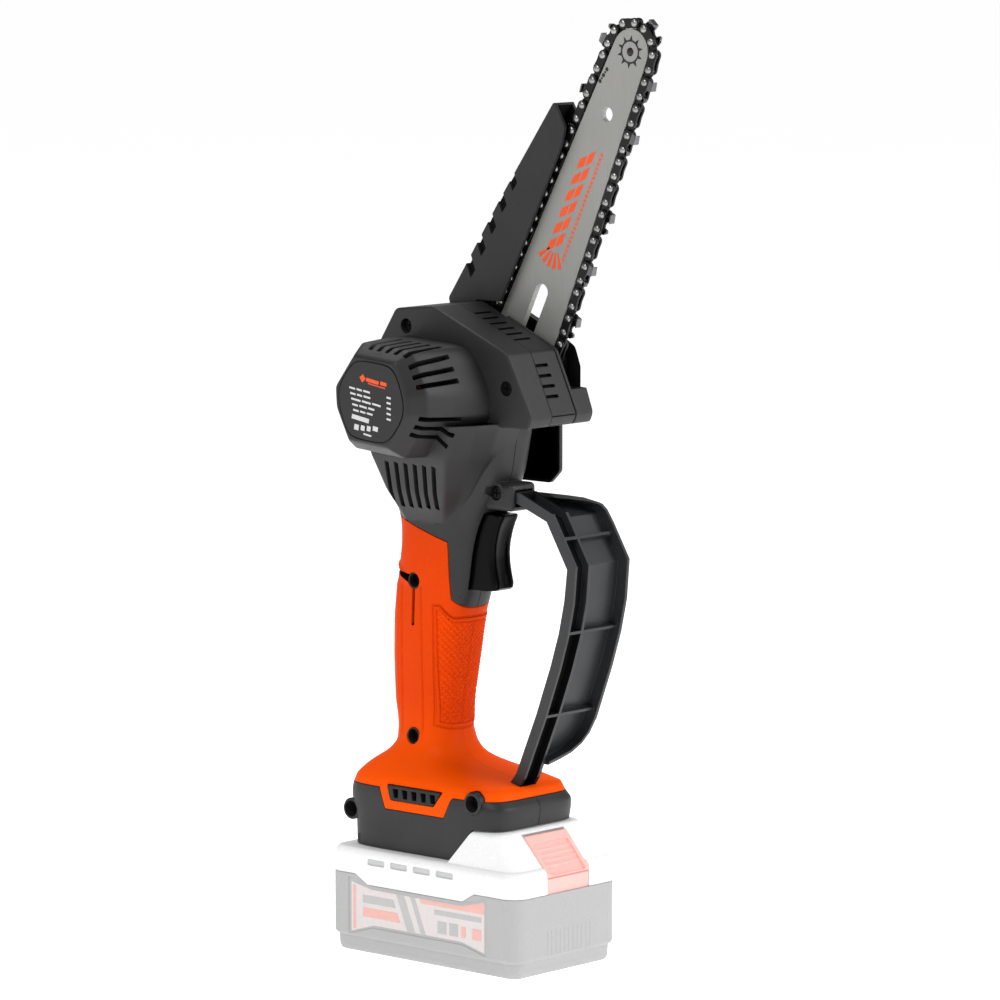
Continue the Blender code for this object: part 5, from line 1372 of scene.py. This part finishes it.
def build_case():
    """The pack's case: bevelled foot, a waist line, a recessed label bay and fine ribs on its front."""
    rows = [(0, 4.2), (0.5, 3.2), (1.6, 2.5), (3.0, 2.2), (7.2, 2.0), (8.6, 0.3), (9.4, 0.0), (44.0, 0.0)]
    case = loft("case", [pack_ring(*row) for row in rows])
    keep(case, plate("reach", pack_split(True, -0.15), -60, 60))
    cut(case, pack_room(2.2, 90))
    bay = softened([(-46.2, 36.6), (-32.5, 33.4), (27, 33.4), (41.8, 37.0), (41.8, 9.4), (27, 13.2),
                    (-31, 13.2), (-46.2, 8.6)], 1.0, 2)
    for sign in (-1, 1):
        cut(case, plate("bay", bay, *span(sign, BATTERY_WIDTH / 2 - 0.3, 40)))
    for sign, count, first, height in ((1, 11, -15.0, 21.0), (-1, 7, -9.0, 24.0)):
        for i in range(count):
            x, y = sign * (BATTERY_LENGTH / 2 + 0.35), first + 3.0 * i
            cut(case, rod("rib", (x, y, 9.6), (x, y, height), 0.6, 10))
    place(case, "battery", "pack_grey", ["battery_case"], PACK_GREY, name="pack_case")


def hump_ring(z, left, right, half, radius):
    """A level ring round the pack's raised nose."""
    return [(x, y, z) for x, y in rounded_box((left, -half), (right, half), radius, 10)]


def build_top():
    """The pack's upper shell with its rising nose, side vents and slide rail."""
    top = loft("top", [pack_ring(*row) for row in
                       ((30.0, 0.0), (46.0, 0.0), (47.6, 0.25), (49.0, 0.9), (50.0, 1.9), (TOP_Z, 3.0))])
    rows = [(44.0, 0.0, 57.9, 34.8, 8.0), (50.0, 2.0, 57.0, 34.4, 8.0), (51.2, 3.0, 56.2, 34.0, 7.6),
            (64.0, 13.0, 44.2, 30.6, 5.0), (65.2, 14.0, 43.2, 29.9, 4.6), (HUMP_TOP_Z, 15.4, 41.8, 28.6, 4.0)]
    hump = loft("hump", [hump_ring(*row) for row in rows])
    behind_foot = [(-60, TOP_Z + 0.05), (14.9, TOP_Z + 0.05), (27.0, FOOT_STEP_Z + 0.1), (27.0, 90),
                   (-60, 90)]
    cut(hump, plate("behind_foot", behind_foot, -60, 60))
    join(top, hump, block("rail_stem", (-46, -18.8, 48.0), (20, 18.8, 57.0)),
         block("rail_head", (-46, -24.0, 56.2), (20, 24.0, 61.6), 0.6, 2))
    keep(top, plate("reach", pack_split(False, 0.15), -60, 60))
    latch_hole = [(38, 64.2), (45.9, 64.2), (75, 64.2), (75, 30), (44, 30)]
    cut(top, pack_room(20, 47.2),
        plate("hump_room", rounded_box((20.0, -25.0), (44.0, 25.0), 4), 46.0, 60.0, flat="XY"),
        plate("latch_hole", latch_hole, -LATCH_HALF - 0.3, LATCH_HALF + 0.3))
    for i in range(3):
        y = -8.0 + 8.0 * i
        cut(top, block("rail_slot", (-60, y - 1.6, 57.2), (-18, y + 1.6, 64)))
    fills, face = [], BATTERY_WIDTH / 2
    for i in range(4):
        x = -34.0 + 14.6 * i
        for sign in (-1, 1):
            vent = softened([(x, 43.2), (x + 11.0, 43.2), (x + 11.0, 46.2), (x, 46.2)], 0.9, 3)
            cut(top, plate("vent", vent, *span(sign, face - 0.85, 40.0)))
            fills.append(plate("fill", grown(vent, -0.05), *span(sign, face - 1.1, face - 0.75)))
    place(top, "battery", "pack_white", ["battery_top"], PACK_WHITE, name="pack_top")
    vents = merged(*fills)
    place(vents, "battery", "pack_grey", (), PACK_VENT, name="pack_vents")


def build_latch():
    """The release latch: a sloping face with a sunk, ribbed middle, and a lip turned down below it."""
    start, end = Vector((45.6, 0, 63.9)), Vector((60.2, 0, 47.2))
    slope = (end - start).normalized()
    normal = Vector((-slope.z, 0, slope.x))
    profile = [(45.6, 63.9), (60.2, 47.2), (59.4, 37.6), (57.2, 37.6), (57.4, 45.6), (43.4, 61.4)]
    latch = bevel(plate("latch", softened(profile, 0.9, 3), -LATCH_HALF, LATCH_HALF), 0.5, 2)
    angle = math.atan2(-slope.z, slope.x)
    cut(latch, stood(block("well", (-8.0, -12.0, -1.3), (9.4, 12.0, 6), 0.6, 2), start + slope * 13.0, angle))
    for i in range(4):
        at = start + slope * (8.2 + 2.9 * i) - normal * 1.5
        join(latch, rod("rib", at + Vector((0, -11.8, 0)), at + Vector((0, 11.8, 0)), 0.95, 16))
    cut(latch, block("lip_line", (58.9, -20, 45.2), (62, 20, 46.0)))
    place(latch, "latch", "latch_pink", ["battery_latch"], LATCH, name="pack_latch")


def build_label():
    """The side label: a pale panel with a crossed grey band, tinted bars and blocks, all plain shapes."""
    outline = [(-44.5, 34.2), (-31.0, 31.6), (26.0, 31.6), (40.6, 35.2), (40.6, 11.0), (26.0, 14.6),
               (-30, 14.6), (-44.5, 10.2)]
    depth = -BATTERY_WIDTH / 2 + 0.12
    label = plate("label", softened(outline, 0.6, 2), depth, depth + 0.6)
    place(label, "battery", "pack_white", ["battery_label"], LABEL_PALE, smooth=0, name="side_label")
    shapes = {
        "label_bands": (INK_PALE_GREY, [[(-15.4, 31.5), (-10.4, 31.5), (-3.4, 14.7), (-8.4, 14.7)],
                                        [(-6.6, 31.5), (-3.6, 31.5), (3.4, 14.7), (0.4, 14.7)]]),
        "label_tint": (INK_PALE_RED, [[(-0.6, 31.4), (26.0, 31.4), (40.4, 35.0), (40.4, 29.4), (0.3, 29.4)],
                                      [(-43.4, 32.8), (-41.6, 32.5), (-41.6, 11.8), (-43.4, 11.4)],
                                      [(-37, 22.6), (-14.8, 22.6), (-12.9, 18.2), (-37, 18.2)],
                                      [(26.0, 21.8), (28.8, 21.8), (28.8, 16.6), (26.0, 16.6)],
                                      [(33, 21.8), (38.6, 21.8), (38.6, 16.6), (33, 16.6)]]),
        "label_bars_grey": (INK_PALE_GREY, [[(-37, 28.6), (-17.4, 28.6), (-15.8, 24.8), (-37, 24.8)],
                                            [(9, 27.6), (38.6, 27.6), (38.6, 25.2), (9, 25.2)],
                                            [(11.0, 22.4), (16.6, 22.4), (16.6, 16.6), (11.0, 16.6)],
                                            [(18.4, 22.4), (24.0, 22.4), (24.0, 16.6), (18.4, 16.6)]]),
    }
    for name, (look, outlines) in shapes.items():
        shape = bmesh.new()
        lift = 0.03 if name == "label_bands" else 0.06
        for points in outlines:
            add_tile(shape, [Vector((x, depth - lift, z)) for x, z in points], 0.04)
        place(mesh_object(name, shape), "battery", "pack_white", (), look, smooth=0)


# ---------------------------------------------------------------- run

def dress_cad_nodes():
    """Procedural materials for the CAD nodes that stay in view."""
    looks = {
        MACHINED: ("motor_pinion", "reduction_gear", "output_shaft", "bearing_motor_front", "bearing_drive",
                   "tension_screw", "bar_stud", "guard_pin"),
        DARK_STEEL: ("drive_sprocket", "sprocket_clip", "gearbox_plate", "tension_block", "nose_sprocket"),
        # The motor can, fan, switch and terminal block, seen through slots, get the near-black painted shade
        # in place of their own finish.
        PAINTED_SHADE: ("motor_can", "motor_fan", "trigger_switch", "terminal_block"), WINDING: ("motor_armature",),
        BOARD: ("controller_board", "battery_board"), TANK: ("oil_tank",),
        WRAP: ("cell_row_lower", "cell_row_upper"),
    }
    look_of = {name: look for look, names in looks.items() for name in names}
    for name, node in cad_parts.items():
        look = look_of.get(name, DARK_STEEL if name.startswith("screw") else None)
        if look:
            node.data.materials.clear()
            node.data.materials.append(look)


def build_stage():
    """Pale floor, soft studio lights and the camera."""
    shape = bmesh.new()
    bmesh.ops.create_grid(shape, x_segments=1, y_segments=1, size=FLOOR_REACH)
    floor = mesh_object("floor", shape)
    made = Nodes("floor_paper")
    made.feed(colour=made.mix(made.noise(3.0), (0.90, 0.90, 0.90), (0.92, 0.92, 0.92)), roughness=0.9,
              specular=0.0, glow_colour=(1.0, 1.0, 1.0, 1.0), glow=FLOOR_GLOW)
    floor.data.materials.append(made.material)
    world = bpy.data.worlds.new("studio")
    world.use_nodes = True
    nodes, links = world.node_tree.nodes, world.node_tree.links
    background = nodes["Background"]
    background.inputs["Color"].default_value = (1.0, 1.0, 1.0, 1.0)
    direction = nodes.new("ShaderNodeTexCoord")
    parts = nodes.new("ShaderNodeSeparateXYZ")
    sweep = nodes.new("ShaderNodeMapRange")
    for key, value in SKY.items():
        sweep.inputs[key].default_value = value
    links.new(direction.outputs["Generated"], parts.inputs["Vector"])
    links.new(parts.outputs["Z"], sweep.inputs["Value"])
    links.new(sweep.outputs["Result"], background.inputs["Strength"])
    bpy.context.scene.world = world
    bpy.context.scene.view_settings.view_transform = "Standard"
    for name, where, size, power in LIGHTS:
        light = bpy.data.lights.new(name, "AREA")
        light.energy, light.size = power, size
        lamp = bpy.data.objects.new(name, light)
        bpy.context.scene.collection.objects.link(lamp)
        lamp.location = where
        lamp.rotation_euler = (LIGHT_AIM - Vector(where)).to_track_quat("-Z", "Y").to_euler()
    look = Vector((-math.sin(AZIMUTH) * math.cos(ELEVATION), math.cos(AZIMUTH) * math.cos(ELEVATION),
                   -math.sin(ELEVATION)))
    camera = bpy.data.cameras.new("camera")
    camera.lens, camera.sensor_width, camera.clip_end = LENS, SENSOR_WIDTH, 20.0
    view = bpy.data.objects.new("camera", camera)
    bpy.context.scene.collection.objects.link(view)
    view.location = AIM - look * CAMERA_DISTANCE
    view.rotation_euler = look.to_track_quat("-Z", "Y").to_euler()
    bpy.context.scene.camera = view


build_stage()
for half in SIDES:
    build_housing(*half)
build_grips()
build_feet()
build_grilles()
build_rating_plate()
build_cover()
build_bar()
build_chain()
build_chain_guard()
build_knob()
build_hand_guard()
build_trigger()
build_lock_button()
build_oil_cap()
build_case()
build_top()
build_latch()
build_label()
dress_cad_nodes()
